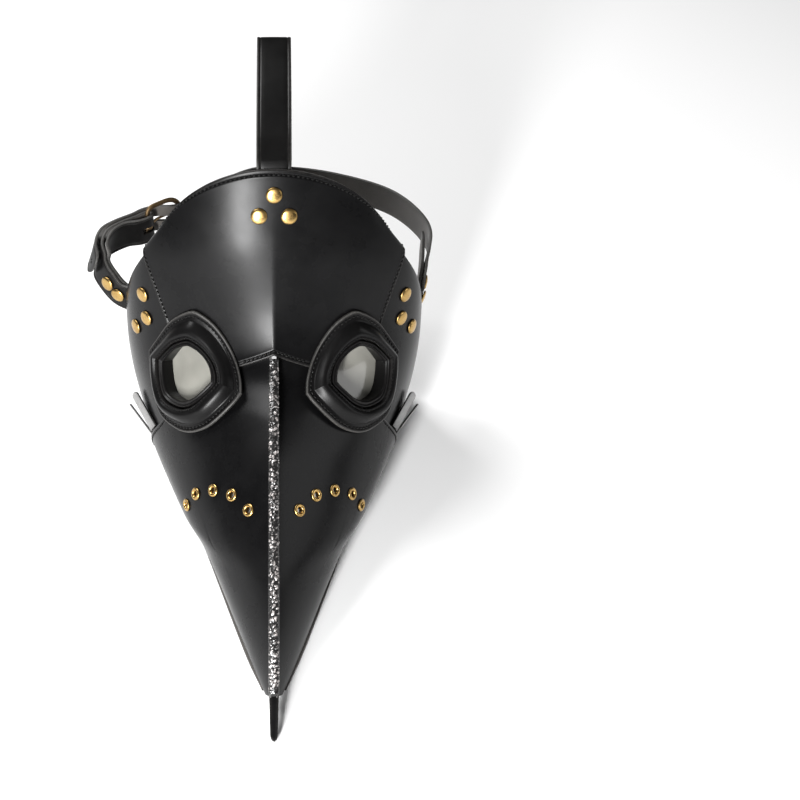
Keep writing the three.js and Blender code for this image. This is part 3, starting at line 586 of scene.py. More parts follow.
def gill_look():
    """Outer skin of the gill flaps: a silvery sheen, partly the flaps' own fibrous skin and partly a painted
    highlight of grazing light, dark and speckled near the root, where the extra darkness is painted shade.
    """
    k = Look("gill_fibre_and_painted_sheen", Specular_IOR_Level=0.6, Sheen_Weight=0.2, Coat_Weight=0.2, Coat_Roughness=0.3)
    grain = k.noise(240.0, 5.0, 0.7, 0.5, k.scaled((1.0, 0.22, 1.0)))
    speck = k.noise(900.0, 4.0, 0.65)
    root = k.attribute("wear_and_painted_light")
    # Painted sheen: the silvery tone stands partly for the flap's fibrous skin and partly for a highlight of
    # grazing light. The dark speckles are strongest at the root, where the extra darkness is painted shade.
    fibre_and_painted_sheen = k.mix(k.map(grain, 0.3, 0.7), (0.035, 0.034, 0.032), (0.13, 0.127, 0.122))
    holes = k.math("MULTIPLY", k.map(speck, 0.47, 0.56), k.map(root, 0.0, 1.0, 0.5, 1.0))
    k.set("Base Color", k.mix(holes, fibre_and_painted_sheen, (0.035, 0.033, 0.032)))
    k.set("Roughness", k.map(grain, 0.3, 0.7, 0.35, 0.6))
    n = k.bump(grain, 0.5, 0.0005)
    k.set("Normal", k.bump(speck, 0.4, 0.0002, n))
    return k.mat


def felt_look():
    k = Look("felt", Specular_IOR_Level=0.2, Sheen_Weight=0.4, Sheen_Roughness=0.7)
    fluff = k.noise(2200.0, 5.0, 0.75, 0.8)
    k.set("Base Color", k.mix(k.map(fluff, 0.3, 0.7), (0.016, 0.016, 0.016), (0.055, 0.054, 0.052)))
    k.set("Roughness", k.map(fluff, 0.3, 0.7, 0.85, 0.98))
    k.set("Normal", k.bump(fluff, 0.7, 0.0003))
    return k.mat


def lens_look():
    k = Look("lens", Specular_IOR_Level=0.5, IOR=1.49, Coat_Weight=0.35, Coat_Roughness=0.05)
    haze = k.noise(26.0, 3.0, 0.5, 0.4)
    scuff = k.noise(700.0, 4.0, 0.7, 0.0, k.scaled((1.0, 0.16, 0.6)))
    tone = k.mix(k.map(haze, 0.35, 0.65), (0.17, 0.167, 0.148), (0.24, 0.236, 0.211))
    k.set("Base Color", k.mix(k.map(scuff, 0.66, 0.76, 0.0, 0.35), tone, (0.40, 0.39, 0.36)))
    k.set("Roughness", k.map(scuff, 0.35, 0.75, 0.10, 0.26))
    k.set("Normal", k.bump(haze, 0.10, 0.0006))
    return k.mat


LEATHER_MAT = leather_look("leather_black", (0.0022, 0.0022, 0.0024), (0.0048, 0.0047, 0.0049), 0.27, 0.0)
DOME_MAT = leather_look("leather_dome", (0.0026, 0.0025, 0.0026), (0.0055, 0.0053, 0.0053), 0.31, 0.02)
STRAP_MAT = leather_look("leather_strap", (0.0024, 0.0023, 0.0023), (0.0052, 0.0050, 0.0049), 0.36, 0.0)
FLESH_MAT = flesh_look()
EDGE_MAT = edge_look()
THREAD_MAT = thread_look()
BRASS_MAT = brass_look("brass", (0.50, 0.33, 0.12), (0.33, 0.20, 0.07), 0.20)
BRONZE_MAT = brass_look("bronze", (0.28, 0.19, 0.10), (0.13, 0.085, 0.045), 0.30)
RAW_MAT = raw_edge_look()
GILL_MAT = gill_look()
FELT_MAT = felt_look()
LENS_MAT = lens_look()
SKIN = [LEATHER_MAT, FLESH_MAT, EDGE_MAT]


def mount(obj, body, slot, *nodes):
    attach(obj, body)
    if nodes:
        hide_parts(*nodes)
    return obj


# Leather panels
LEAF_T, LEAF_U = leaf(np.linspace(0, 1, 1441)[:-1], 1.0)
LEAF_ANGLE = np.arctan2(LEAF_U - LEAF_MID[1], LEAF_T - LEAF_MID[0])
LEAF_RADIUS = np.hypot(LEAF_U - LEAF_MID[1], LEAF_T - LEAF_MID[0])[np.argsort(LEAF_ANGLE)]
LEAF_ANGLE = np.sort(LEAF_ANGLE)


def leaf_share(t, u):
    """How far out of the eye's middle a point is: 1 on the leaf's outline."""
    dt, du = np.asarray(t) - LEAF_MID[0], np.abs(u) - LEAF_MID[1]
    edge = np.interp(np.arctan2(du, dt), LEAF_ANGLE, LEAF_RADIUS, period=2 * np.pi)
    return np.hypot(dt, du) / edge


def panel_grid(place, rows, cols):
    """Shares down and across a panel with fine rows at all four edges, and distances from them."""
    s = np.linspace(0, 1, 61)
    a, b = np.meshgrid(s, s, indexing="ij")
    rough = on_shell(*place(a, b))
    down_len, across_len = lengths_of(rough, 0), lengths_of(rough, 1)
    base_b = spread([across_len.mean()], cols)[0][0]
    base_a = spread([down_len.mean()], rows)[0][0]
    a, top, bottom = (x.T for x in spread(np.interp(base_b, s, down_len), rows))
    b, left, right = spread(np.interp(base_a, s, across_len), cols)
    return a, b, top, bottom, left, right


# Sewn lines stop at this share of an eye's outline, and their threads lie this deep in the groove.
SEWN_TO_EYE = 1.035
SEWN_DEEP = -0.28


def sew(t, u, h=SEWN_DEEP):
    """Stitches along a line of the shell, leaving out what an eye covers."""
    ok = leaf_share(t, u) > SEWN_TO_EYE
    runs = np.split(np.arange(len(t)), np.where(np.diff(ok.astype(int)) != 0)[0] + 1)
    for r in runs:
        if ok[r[0]] and len(r) > 3:
            stitches(shell(t[r], u[r], h), shell_normal(t[r], u[r]))




def forehead():
    def place(v, w01):
        w = 2 * w01 - 1
        edge = seam_round(np.clip(1 - v, 0, 1) ** 1.7)
        return v * (NOSE_EDGE + (CORNER_T - NOSE_EDGE) * np.abs(w)), w * edge

    a, b, top, bottom, left, right = panel_grid(place, 52, 83)
    t, u = place(a, b)
    near = np.minimum.reduce([top, bottom, left, right])
    h = rim(near) + groove(top) + groove(left, NEAR[5]) + groove(right, NEAR[5]) + groove(bottom, NEAR[6])
    obj = slab("forehead_leather", shell(t, u, h), shell(t, u, -LEATHER), SKIN, np.exp(-near / 0.9))
    inside = slice(4, -4)
    for line in ((INSET_ROW, slice(6, -6)), (-7, inside), (inside, 5), (inside, -6)):
        sew(t[line], u[line])
    cut(obj, [eye_cutter(s) for s in SIDES.values()])
    return mount(obj, "mask", "leather", "forehead_panel")


def cheek(side):
    sign = SIDES[side]

    def place(a, b):
        share = 0.08 + 0.92 * b
        top = np.maximum(0.004, forehead_seam(share) - LAP)
        return top + (jaw_seam(share) + LAP - top) * a, sign * seam_round(share)

    a, b, top, bottom, left, right = panel_grid(place, 60, 30)
    t, u = place(a, b)
    near = np.minimum.reduce([top, bottom, left, right])
    h = rim(near) - 0.3 * np.exp(-((right - 2.7) / 0.5) ** 2)
    obj = slab(f"{side}_cheek_leather", cheek_point(side, t, np.abs(u), h),
               cheek_point(side, t, np.abs(u), -LEATHER), SKIN, np.exp(-right / 1.1))
    cut(obj, [eye_cutter(sign)])
    return mount(obj, "mask", "leather", f"{side}_cheek_panel")


WELT_HALF = 1.1
EYELETS = [(0.650, 0.102), (0.631, 0.166), (0.636, 0.250), (0.661, 0.364), (0.700, 0.500)]


def seam_foot(t, x):
    ry, rz, ex, ey, ez, turn, flat, belly = np.moveaxis(section(np.asarray(t, float)), -1, 0)
    full = np.radians(turn)
    return x / (ex * full / np.sin(full) + belly * np.pi)


def beak(side):
    sign = SIDES[side]
    inner_x, outer_x = WELT_HALF + GAP, WELT_HALF + GAP + LEATHER
    crest = 2.5

    def foot_of(b):
        t = beak_start(0) + (BEAK_END - beak_start(0)) * b
        return seam_foot(t, outer_x + 0.3)

    def place(b, c):
        foot = foot_of(b)
        u = foot + (1 - foot) * c
        return beak_start(u) + (BEAK_END - beak_start(u)) * b, sign * u

    b, c, start, end, ridge, lower = panel_grid(place, 76, 46)
    t, u = place(b, c)
    h = (beak_outer(t, u) + rim(np.minimum(start, lower)) + groove(start) * smooth(0.38, 0.42, np.abs(u)))
    outer = shell(t, u, h)
    inner = shell(t, u, beak_outer(t, u) - LEATHER)
    # The flange: a fold up beside the welt, flat under the forehead panel.
    rows = b[:, 0]
    ft = beak_start(0) + (BEAK_END - beak_start(0)) * rows
    rise = smooth(NOSE_EDGE + 0.012, NOSE_EDGE + 0.037, ft)[:, None]

    def flange_top(x, fall):
        low = shell(ft, sign * seam_foot(ft, x), beak_outer(ft, 0.0))
        p = low + (shell(ft, 0 * ft, crest - fall) - low) * rise
        p[:, 0] = sign * x
        return p

    low_in = shell(ft, 0 * ft, beak_outer(ft, 0.0) - LEATHER)
    low_in[:, 0] = sign * inner_x
    high_out, high_in = flange_top(outer_x - 0.25, 0.35), flange_top(inner_x + 0.3, 0.0)
    steps = np.linspace(0, 1, 7)[None, :, None]
    fold_out = high_out[:, None] + (outer[:, 0][:, None] - high_out[:, None]) * steps
    fold_in = high_in[:, None] + (low_in[:, None] - high_in[:, None]) * steps
    fold_out[..., 0] -= sign * 0.5 * np.sin(np.pi * steps[..., 0])
    outer = np.concatenate([fold_out[:, :-1], outer], 1)
    inner = np.concatenate([fold_in[:, :-1], inner], 1)
    pad = np.zeros((len(rows), 6))
    wear_and_painted_light = np.concatenate([pad + np.linspace(0.9, 0, 6), np.exp(-np.minimum(start, lower) / 0.9)], 1)
    obj = slab(f"{side}_beak_leather", outer, inner, SKIN, wear_and_painted_light)
    sewn = (INSET_ROW, slice(6, -6))
    aside = np.abs(u[sewn]) > 0.4
    sew(t[sewn][aside], u[sewn][aside], -0.30)
    holes = [drill(seat_on_shell(et, sign * eu), 3.15) for et, eu in EYELETS]
    cut(obj, [eye_cutter(sign)] + holes)
    # Saddle stitches along the flange's foot hold the two flanges and the welt together.
    line = np.arange(len(rows))[(ft > NOSE_EDGE + 0.05) & (ft < BEAK_END - 0.01)]
    mid = fold_out[line, 3]
    out = np.array([sign * 0.9, 0.0, 0.0]) + 0.45 * shell_normal(ft[line], 0 * ft[line])
    stitches(mid, unit(out), pitch=3.0, radius=0.30, lift=-0.05)
    return mount(obj, "mask", "leather", f"{side}_beak_panel")


def ridge():
    """The crinkled raw edge along the top of the standing seam."""
    t = np.linspace(NOSE_EDGE + 0.006, BEAK_END - 0.002, 640)
    base = on_shell(t, 0 * t)
    run = run_of(base)
    out = shell_normal(t, 0 * t)
    ends = np.minimum(smooth(-1.0, 1.2, run), smooth(0, 2.0, run[-1] - run))
    # cross-section: half width and height over the shell, from the left foot over the top
    angle = np.linspace(-100, 100, 19)
    pts, crest = [], []
    for deg in angle:
        a = math.radians(deg)
        x0, h0 = 2.95 * math.sin(a), 1.95 + 1.15 * math.cos(a)
        row, tone = [], []
        for s, p, n, e in zip(run, base, out, ends):
            across = (0.84 * x0 + 0.54 * s) / 1.75 + 0.25 * math.sin(s * 1.3)
            cell = noise.voronoi(Vector((across, (0.84 * s - 0.54 * x0) / 3.1, 3.0)))[0]
            top = min(1.0, 1.9 * (cell[1] - cell[0]))
            rough = noise.noise(Vector((x0 * 0.8, s * 0.9, 9.0)))
            lump = (0.95 * top + 0.22 * rough - 0.35) * e
            r = 1 + 0.16 * lump
            row.append(p + n * (h0 + 0.62 * lump * max(0.15, math.cos(a))) * (0.55 + 0.45 * e)
                       + np.array([x0 * r * (0.8 + 0.2 * e), 0, 0]))
            # The tone paints the lumps' crests bright, partly the edge's own silvery fibres and partly a
            # painted highlight, and fades it out near both ends.
            fade = min(smooth(1.5, 6.0, s), smooth(0.5, 4.0, run[-1] - s))
            tone.append(min(1.0, max(0.0, 0.15 + 1.0 * top + 0.35 * rough)) * fade)
        pts.append(row)
        crest.append(tone)
    top = np.array(pts).transpose(1, 0, 2)
    across = np.linspace(-1.0, 1.0, len(angle))[None, :, None]
    low = base[:, None] + out[:, None] * -3.0 + np.array([1.0, 0, 0]) * across
    obj = slab("ridge_raw_edge", top, low, [RAW_MAT], np.array(crest).T, (0, 0, 0), 75)
    return mount(obj, "mask", "raw_edge", "ridge_welt")


def underside():
    first = 0.825
    s = np.linspace(0, 1, 90)
    edge = on_shell(first + (BEAK_END - 0.01 - first) * s, 1.0)
    proud = 1.0 - 0.8 * smooth(0.7, 1.0, s)
    c = np.linspace(-1, 1, 61)
    c = np.sign(c) * (1 - (1 - np.abs(c)) ** 1.3)
    x = (edge[:, 0] + proud)[:, None] * c[None]
    y = np.repeat(edge[:, 1][:, None], len(c), 1) - 17.0 * (1 - c**2)[None] * (1 - s[:, None]) ** 3
    side = (edge[:, 0] + proud)[:, None] - np.abs(x)
    z = LEATHER - 0.25 * np.exp(-side / 0.5)
    top = np.stack([x, y, z], -1)
    bottom = np.stack([x, y, 0.0 * z], -1)
    obj = slab("underside_leather", top, bottom, SKIN, 0.3 * np.exp(-side / 0.9), (1, 0, 0))
    for sign in (-1, 1):
        line = np.stack([sign * (edge[:, 0] + proud - 3.4), edge[:, 1], 0 * s + 0.28], -1)[4:72]
        stitches(line, np.tile([0.0, 0, -1.0], (len(line), 1)), radius=0.3, lift=0.0)
    return mount(obj, "mask", "leather", "beak_underside_panel")


def tip_tab():
    half, length, tucked, straight, rows = 2.9, 24.4, 4.0, 0.86, 26
    s = np.concatenate([np.linspace(0, straight, rows),
                        straight + 0.14 * np.sin(np.linspace(0, 90, 12)[1:] * np.pi / 180)])
    width = half * (1 - 0.25 * s)
    width[rows:] *= np.sqrt(np.clip(1 - ((s[rows:] - straight) / 0.14) ** 2, 0.004, 1))
    c = np.linspace(-1, 1, 13)
    x = width[:, None] * c[None]
    y = np.repeat((s * (length + tucked) - tucked)[:, None], len(c), 1)
    puff = 1.2 * (1 - 0.16 * np.abs(c) ** 6)[None] * (1 - 0.25 * smooth(0.9, 1, s))[:, None]
    angle = math.radians(22)
    root = on_shell(BEAK_END, 0.0)

    def placed(z):
        # the tongue points towards the tip and down
        py, pz = -y, z
        return np.stack([-x, py * math.cos(angle) - pz * math.sin(angle) + root[1] + 0.2,
                         py * math.sin(angle) + pz * math.cos(angle) + root[2] - 2.2], -1)

    obj = slab("tip_tongue", placed(puff), placed(-puff), [LEATHER_MAT],
               np.exp(-(width[:, None] - np.abs(x)) / 0.8), (0, 0, 0), 60)
    return mount(obj, "mask", "leather", "beak_tip_tab")


# Eyes
DOME = [
    (1, 0.8), (1.002, 1.5), (1, 2.2), (0.992, 2.55), (0.98, 2.72), (0.962, 2.74), (0.95, 2.6),
    (0.94, 2.36), (0.93, 2.28), (0.92, 2.38), (0.908, 2.66), (0.892, 2.78), (0.878, 2.95), (0.868, 3.45),
    (0.855, 4.25), (0.835, 5.35), (0.81, 6.55), (0.78, 7.65), (0.75, 8.3), (0.725, 8.48), (0.7, 8.2),
    (0.682, 7.7), (0.668, 7.15), (0.658, 6.95), (0.648, 7.05), (0.638, 7.05), (0.632, 6.6), (0.63, 5.8),
    (0.63, 3), (0.672, 3), (0.695, 5.2), (0.73, 6.5), (0.78, 4.8), (0.83, 0.8)]
RIM = [
    (0.5, -3.6), (0.5, 4.2), (0.503, 5), (0.512, 5.7), (0.525, 6.05), (0.538, 5.95), (0.548, 5.55),
    (0.556, 5.45), (0.564, 5.7), (0.576, 6.15), (0.59, 6.1), (0.6, 5.5), (0.605, 4.6), (0.605, -3.6)]
PAD = [
    (0.69, 0.8), (0.69, 2.8), (0.705, 4.7), (0.73, 6), (0.766, 4.5), (0.803, 1), (0.803, 0.8)]
RETAINER = [
    (0.48, -8), (0.482, -7), (0.49, -6.5), (0.5, -6.4), (0.74, -6.4), (0.755, -6.6), (0.76, -7.3),
    (0.755, -8), (0.74, -8.2), (0.5, -8.2)]
RIM_WEAR = [0, 0, 0, .1, .3, .3, .1, 0, .1, .3, .3, .1, 0, 0]
LENS = [
    (0.08, -4.2), (0.2, -4.2), (0.32, -4.2), (0.44, -4.2), (0.54, -4.2), (0.585, -4.2), (0.6, -4.45),
    (0.6, -5.45), (0.585, -5.7), (0.4, -5.7), (0.2, -5.7), (0.08, -5.7)]
LEAF_N = 176


def leaf_ring(build, side, profile, wear_and_painted_light=0.0):
    """A ring along the leaf outline, from a closed profile of (leaf scale, height)."""
    q = np.arange(LEAF_N) / LEAF_N
    pts = np.stack([leaf_point(SIDES[side], q, k, h) for k, h in profile], 1)
    build.put(pts, quads(LEAF_N, len(profile), wrap_rows=True, wrap_cols=True), 0,
              np.broadcast_to(wear_and_painted_light, pts.shape[:2]))


def eye(side):
    sign = SIDES[side]
    build = Build()
    k = np.array([p[0] for p in DOME])
    inner_edge = (k < 0.64) & (np.arange(len(k)) < 28)
    leaf_ring(build, side, DOME, np.where(k > 0.97, 0.9, 0.0) + np.where(inner_edge, 0.35, 0.0))
    # the cut outer edge of the flange shows as a bevelled rim
    mats = np.array(build.m).reshape(LEAF_N, len(DOME))
    mats[:, :4] = 1
    build.m = mats.reshape(-1).tolist()
    obj = build.make(f"{side}_eye_dome_leather", [DOME_MAT, EDGE_MAT])
    mount(obj, "mask", "leather", f"{side}_eye_dome")

    for share, h, pitch, radius in ((0.931, 2.42, 3.0, 0.50), (0.656, 7.0, 2.3, 0.34)):
        t, u = leaf(np.linspace(0, 1, 700), share)
        stitches(shell(t, sign * u, h), shell_normal(t, sign * u), pitch, radius=radius, lift=0.05,
                 start=0, stop=0)

    for name, profile, mat, slot, node, wear_and_painted_light in (
            ("eye_rim_leather", RIM, DOME_MAT, "leather", "eye_rim", RIM_WEAR),
            ("eye_packing", PAD, FELT_MAT, "felt", "eye_pad", 0.0),
            ("lens_ring_leather", RETAINER, FLESH_MAT, "leather", "lens_retainer", 0.0)):
        build = Build()
        leaf_ring(build, side, profile, wear_and_painted_light)
        mount(build.make(f"{side}_{name}", [mat]), "mask", slot, f"{side}_{node}")

    q = np.arange(LEAF_N) / LEAF_N
    build = Build()
    build.put(np.concatenate([leaf_point(sign, q, k, h) for k, h in LENS]),
              tube(len(LENS), LEAF_N))
    mount(build.make(f"{side}_lens_plate", [LENS_MAT]), "mask", "lens", f"{side}_lens")


# Gill flaps
GILLS = [((0.28, 0.44), 34.0, (0.44, 0.89, 0.09)), ((0.50, 0.66), 32.0, (0.54, 0.84, 0.06)),
         ((0.72, 0.86), 15.0, (0.50, 0.85, 0.15))]
GILL_THICK = 1.5


def gill(side, index):
    sign = SIDES[side]
    (first, last), length, (fx, fy, fz) = GILLS[index]
    l = np.linspace(0, 1, 40)[:, None]
    m = np.linspace(0, 1, 25)[None]
    narrow = 1 - 0.5 * np.clip((l - 0.86) / 0.14, 0, 1) ** 3
    share = first + (last - first) * (0.5 + (m - 0.5) * narrow)
    t, u = jaw_seam(share) - 0.008, sign * seam_round(share)
    flare = np.array([sign * fx, fy, fz])
    side_d = np.minimum(m, 1 - m) * 15.0
    near = np.minimum(side_d, np.minimum(l, 1 - l) * length)

    def face(h):
        return shell(t, u, h - LAYER + 0.5) + (length * l)[..., None] * flare

    name = f"{side}_gill_{index + 1}"
    # The last value is 1 at the flap's root and fades out along the flap. It makes the dark speckles there
    # stronger as painted shade.
    obj = slab(f"{name}_skin", face(GILL_THICK + 0.6 * rim(near)), face(-0.6 * rim(near)),
               [GILL_MAT, FLESH_MAT, LEATHER_MAT], 1 - smooth(0.0, 0.45, l) + 0 * m)
    return mount(obj, name, "leather", f"{side}_gill_flap_{index + 1}")


# Rivets and eyelets
ANCHOR_OUTER = -LEATHER - GAP
TAB_PLY = STRAP_THICK + 2.5 * GAP
TAB_OUTER = -LEATHER - 5 * GAP
FOREHEAD_RIVETS = {"top": (0.057, 0.0), "left": (0.103, -0.068), "right": (0.103, 0.068)}
CHEEK_RIVETS = {"temple_rivet_1": (0.233, 0.674), "temple_rivet_2": (0.286, 0.632),
                "temple_rivet_3": (0.312, 0.732)}
STRAP_RIVETS = {"strap_rivet_1": 0, "strap_rivet_2": 1}
# Profiles as (radius, height over the leather).
RIVET_FOOT = [(1.0, -0.85), (3.2, -1.0), (3.8, -0.8), (4.0, -0.45), (3.95, -0.1), (3.7, 0), (1.6, 0)]
RIVET_HEAD = [
    (1.6, 0), (4.5, -0.1), (4.9, 0), (5, 0.3), (4.93, 0.62), (4.72, 0.92), (4.35, 1.22), (3.75, 1.46),
    (2.9, 1.64), (1.9, 1.76), (0.9, 1.83)]
EYELET_BACK = [(1.9, -0.7), (2.3, -1.0), (3.3, -0.95), (3.69, -0.5), (3.69, 0), (3.0, 0)]
EYELET_FRONT = [
    (3, 0), (3.95, 0), (4.1, 0.2), (4.05, 0.55), (3.8, 0.9), (3.4, 1.15), (2.9, 1.25), (2.4, 1.1),
    (2, 0.7), (1.75, 0.1), (1.7, -0.8)]
EYELET_WEAR = [0.6, 0.4, 0.4, 0.6, 0.8, 1, 1, 1, 1, 0.6, 0.2, 0, 0, 0, 0.15, 0.4, 0.8]


def rivet(build, seat, outer, inner):
    """A capped rivet through leather whose faces are at these heights."""
    top, low = outer + GAP, inner - GAP
    profile = [(r, low + h) for r, h in RIVET_FOOT] + [(r, top + h) for r, h in RIVET_HEAD]
    wear_and_painted_light = np.array([0.4] * 7 + [1, 1, 1, 0.9, 0.55, 0.3, 0.15, 0.05] + [0.0] * 3)
    centre, out = seat
    n, m = 44, len(profile)
    rings = np.concatenate([ring_points(centre, out, r, h, n) for r, h in profile])
    poles = np.array([centre + out * h for h in (low - 0.8, top + 1.85)])
    faces = [tuple(f) for f in quads(m, n, wrap_cols=True)]
    faces += [(i, (i + 1) % n, m * n) for i in range(n)]
    faces += [((m - 1) * n + (i + 1) % n, (m - 1) * n + i, m * n + 1) for i in range(n)]
    w = np.concatenate([np.repeat(wear_and_painted_light, n), [0.4, 0.0]])
    build.put(np.concatenate([rings, poles]), faces, 0, w)


def rivets():
    build = Build()
    for t, u in FOREHEAD_RIVETS.values():
        rivet(build, seat_on_shell(t, u), 0, ANCHOR_OUTER - STRAP_THICK)
    obj = build.make("forehead_rivets_brass", [BRASS_MAT], sharp=60)
    mount(obj, "mask", "brass", *[f"forehead_rivet_{k}" for k in FOREHEAD_RIVETS])
    for side in SIDES:
        build = Build()
        for t, u in CHEEK_RIVETS.values():
            rivet(build, seat_on_cheek(side, t, u), 0, TAB_OUTER - STRAP_THICK)
        for i in STRAP_RIVETS.values():
            point, _, out = tail_frame(side, i)
            rivet(build, (point, out), 0.0, -TAB_PLY - STRAP_THICK - 1)
        obj = build.make(f"{side}_rivets_brass", [BRASS_MAT], sharp=60)
        mount(obj, "mask", "brass", *[f"{side}_{k}" for k in (*CHEEK_RIVETS, *STRAP_RIVETS)])


def eyelets(side):
    build = Build()
    for t, u in EYELETS:
        outer = float(beak_outer(t, u))
        top, low = outer + GAP - 0.2, outer - LEATHER - GAP
        profile = [(r, low + h) for r, h in EYELET_BACK] + [(r, top + h) for r, h in EYELET_FRONT]
        lathe(build, profile, seat_on_shell(t, SIDES[side] * u), 40, EYELET_WEAR)
    obj = build.make(f"{side}_eyelets_brass", [BRASS_MAT], sharp=60)
    mount(obj, "mask", "brass", *[f"{side}_eyelet_{i + 1}" for i in range(len(EYELETS))])


# Straps
HALF_W, HALF_T = STRAP_WIDTH / 2, STRAP_THICK / 2
# Strap section, as (across, out): creased outer face, rounded edges, plain inner face.
FACE = [
    (-9.9, 1), (-9.1, 0.99), (-8.65, 0.93), (-8.3, 0.72), (-7.95, 0.93), (-7.4, 1), (-5, 1.02),
    (-2.5, 1.04), (0, 1.05), (2.5, 1.04), (5, 1.02), (7.4, 1), (7.95, 0.93), (8.3, 0.72), (8.65, 0.93),
    (9.1, 0.99), (9.9, 1)]
EDGE = [(10.25, 0.88), (10.46, 0.55), (10.5, 0.0), (10.46, -0.55), (10.25, -0.88)]
BACK = [(9.9, -1.0), (6.0, -1.0), (2.0, -1.0), (-2.0, -1.0), (-6.0, -1.0), (-9.9, -1.0)]
SECTION_PTS = np.array(FACE + EDGE + BACK + [(-a, -b) for a, b in EDGE])
SECTION_MAT = ([0] * (len(FACE) - 1) + [2] * (len(EDGE) + 1) + [1] * (len(BACK) - 1) + [2] * (len(EDGE) + 1))
SECTION_WEAR = [0.8 if abs(a) > 9.8 else (0.25 if 7.4 < abs(a) < 9.2 else 0.0) for a, _ in SECTION_PTS]


def loft(name, loops):
    """A closed strap through loops of section points."""
    loops = np.asarray(loops)
    n, m = loops.shape[:2]
    build = Build()
    build.put(loops, tube(n, m), SECTION_MAT * (n - 1) + [2, 2], np.tile(SECTION_WEAR, (n, 1)))
    return build.make(name, [STRAP_MAT, FLESH_MAT, EDGE_MAT])


def rounded(share):
    """How wide a strap is near its rounded end: share is 0 at the tip and 1 where it is full."""
    return np.sqrt(np.clip(1 - (1 - np.clip(share, 0, 1)) ** 2, 0.03, 1))


def strap_section(k):
    """The section's points across and out, narrowed to k."""
    a, b = SECTION_PTS.T
    return a * k, b * (0.35 + 0.65 * k)


def bend(obj, first, second, start, end, *nodes):
    """Bakes a strap's placement into its mesh and hides the CAD parts it stands for."""
    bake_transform(obj)
    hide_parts(*nodes)


def centripetal(points, step=1.6):
    """Smooth curve through points, evenly resampled."""
    p = np.asarray(points, float)
    p = np.concatenate([[2 * p[0] - p[1]], p, [2 * p[-1] - p[-2]]])
    out = []
    for i in range(1, len(p) - 2):
        p0, p1, p2, p3 = p[i - 1:i + 3]
        d = [max(1e-6, np.linalg.norm(b - a)) ** 0.5 for a, b in ((p0, p1), (p1, p2), (p2, p3))]
        t0, t1, t2, t3 = 0, d[0], d[0] + d[1], d[0] + d[1] + d[2]
        for t in np.linspace(t1, t2, 24, endpoint=False):
            a1 = (t1 - t) / (t1 - t0) * p0 + (t - t0) / (t1 - t0) * p1
            a2 = (t2 - t) / (t2 - t1) * p1 + (t - t1) / (t2 - t1) * p2
            a3 = (t3 - t) / (t3 - t2) * p2 + (t - t2) / (t3 - t2) * p3
            b1 = (t2 - t) / (t2 - t0) * a1 + (t - t0) / (t2 - t0) * a2
            b2 = (t3 - t) / (t3 - t1) * a2 + (t - t1) / (t3 - t1) * a3
            out.append((t2 - t) / (t2 - t1) * b1 + (t - t1) / (t2 - t1) * b2)
    out.append(p[-2])
    out = np.array(out)
    run = run_of(out)
    return along(out, run, np.linspace(0, run[-1], max(8, int(run[-1] / step))))


def strap_loops(path, wide, outward, ends=(0.0, 0.0)):
    """Section loops along a path. ends gives how much each end is rounded, in millimetres."""
    wide = np.broadcast_to(wide, path.shape)
    flat = unit(np.cross(unit(np.gradient(path, axis=0)), wide) * outward)
    run = run_of(path)
    k = np.ones(len(path))
    for reach, d in ((ends[0], run), (ends[1], run[-1] - run)):
        if reach:
            k *= rounded(d / reach)
    across, out = strap_section(k[:, None])
    return path[:, None] + wide[:, None] * across[..., None] + flat[:, None] * out[..., None]


TAB_FROM, TAB_SECOND, TAB_MIDDLE, TAB_HALF = 0.60, 0.86, (0.285, 0.235), (0.065, 0.039)
# Beyond the cheek's edge a tab's outer face runs through its two rivets to the flex line.
TAILS = {"left": [(-104.3, 280.5, 104.5), (-111, 284.5, 111), (-117, 292.6, 116.6)],
         "right": [(99.4, 282.6, 100.6), (100.8, 288.4, 109.0), (102, 292.6, 114.8)]}
BAND_Z = 126.0
FLEX_Y = 294.0
BAR = np.array([-86.0, 327.0, 126.0])
AHEAD = np.array([0.82, 0.572, 0.0])
OUT = np.array([-0.572, 0.82, 0.0])
BUCKLE_LENGTH, BUCKLE_HEIGHT, WIRE = 26.0, 30.0, 1.6
LEFT_LINE = [(-115, 298, 119), (-115.8, 304, 122), (-111, 311.5, 125), (-101.5, 318.6, BAND_Z)]


def leaning(points):
    """The way across a strap: it leans over where the strap rises from the cheek to the headband."""
    x, y = np.asarray(points, float)[..., 0], np.asarray(points, float)[..., 1]
    k = smooth(276, 286, y) * (1 - smooth(292, 318, y))
    wide = np.stack([np.where(x < 0, 0.55, 0.0) * k, np.where(x < 0, -0.3, -0.7) * k, 1 + 0 * k], -1)
    return unit(wide)


def tab_point(side, u, across, h):
    share = (u - TAB_FROM) / (1 - TAB_FROM)
    t, half = (a + (b - a) * share for a, b in (TAB_MIDDLE, TAB_HALF))
    return shell(t + across * half, SIDES[side] * u + 0 * np.asarray(across), h - LAYER)


def tail_frame(side, i):
    tail = np.array(TAILS[side], float)
    before = tail[i - 1] if i else tab_point(side, 1.0, np.array(0.0), TAB_OUTER)
    wide = leaning(tail[i])
    ahead = tail[min(i + 1, 2)] - before
    return tail[i], wide, unit(np.cross(ahead, wide) * SIDES[side])


def buckle_at(s, o):
    return BAR + AHEAD * s + OUT * o


def beside_left(i, o):
    p = np.array(LEFT_LINE[i], float)
    return p + unit([p[0], p[1] - 296.0, 0.0]) * o


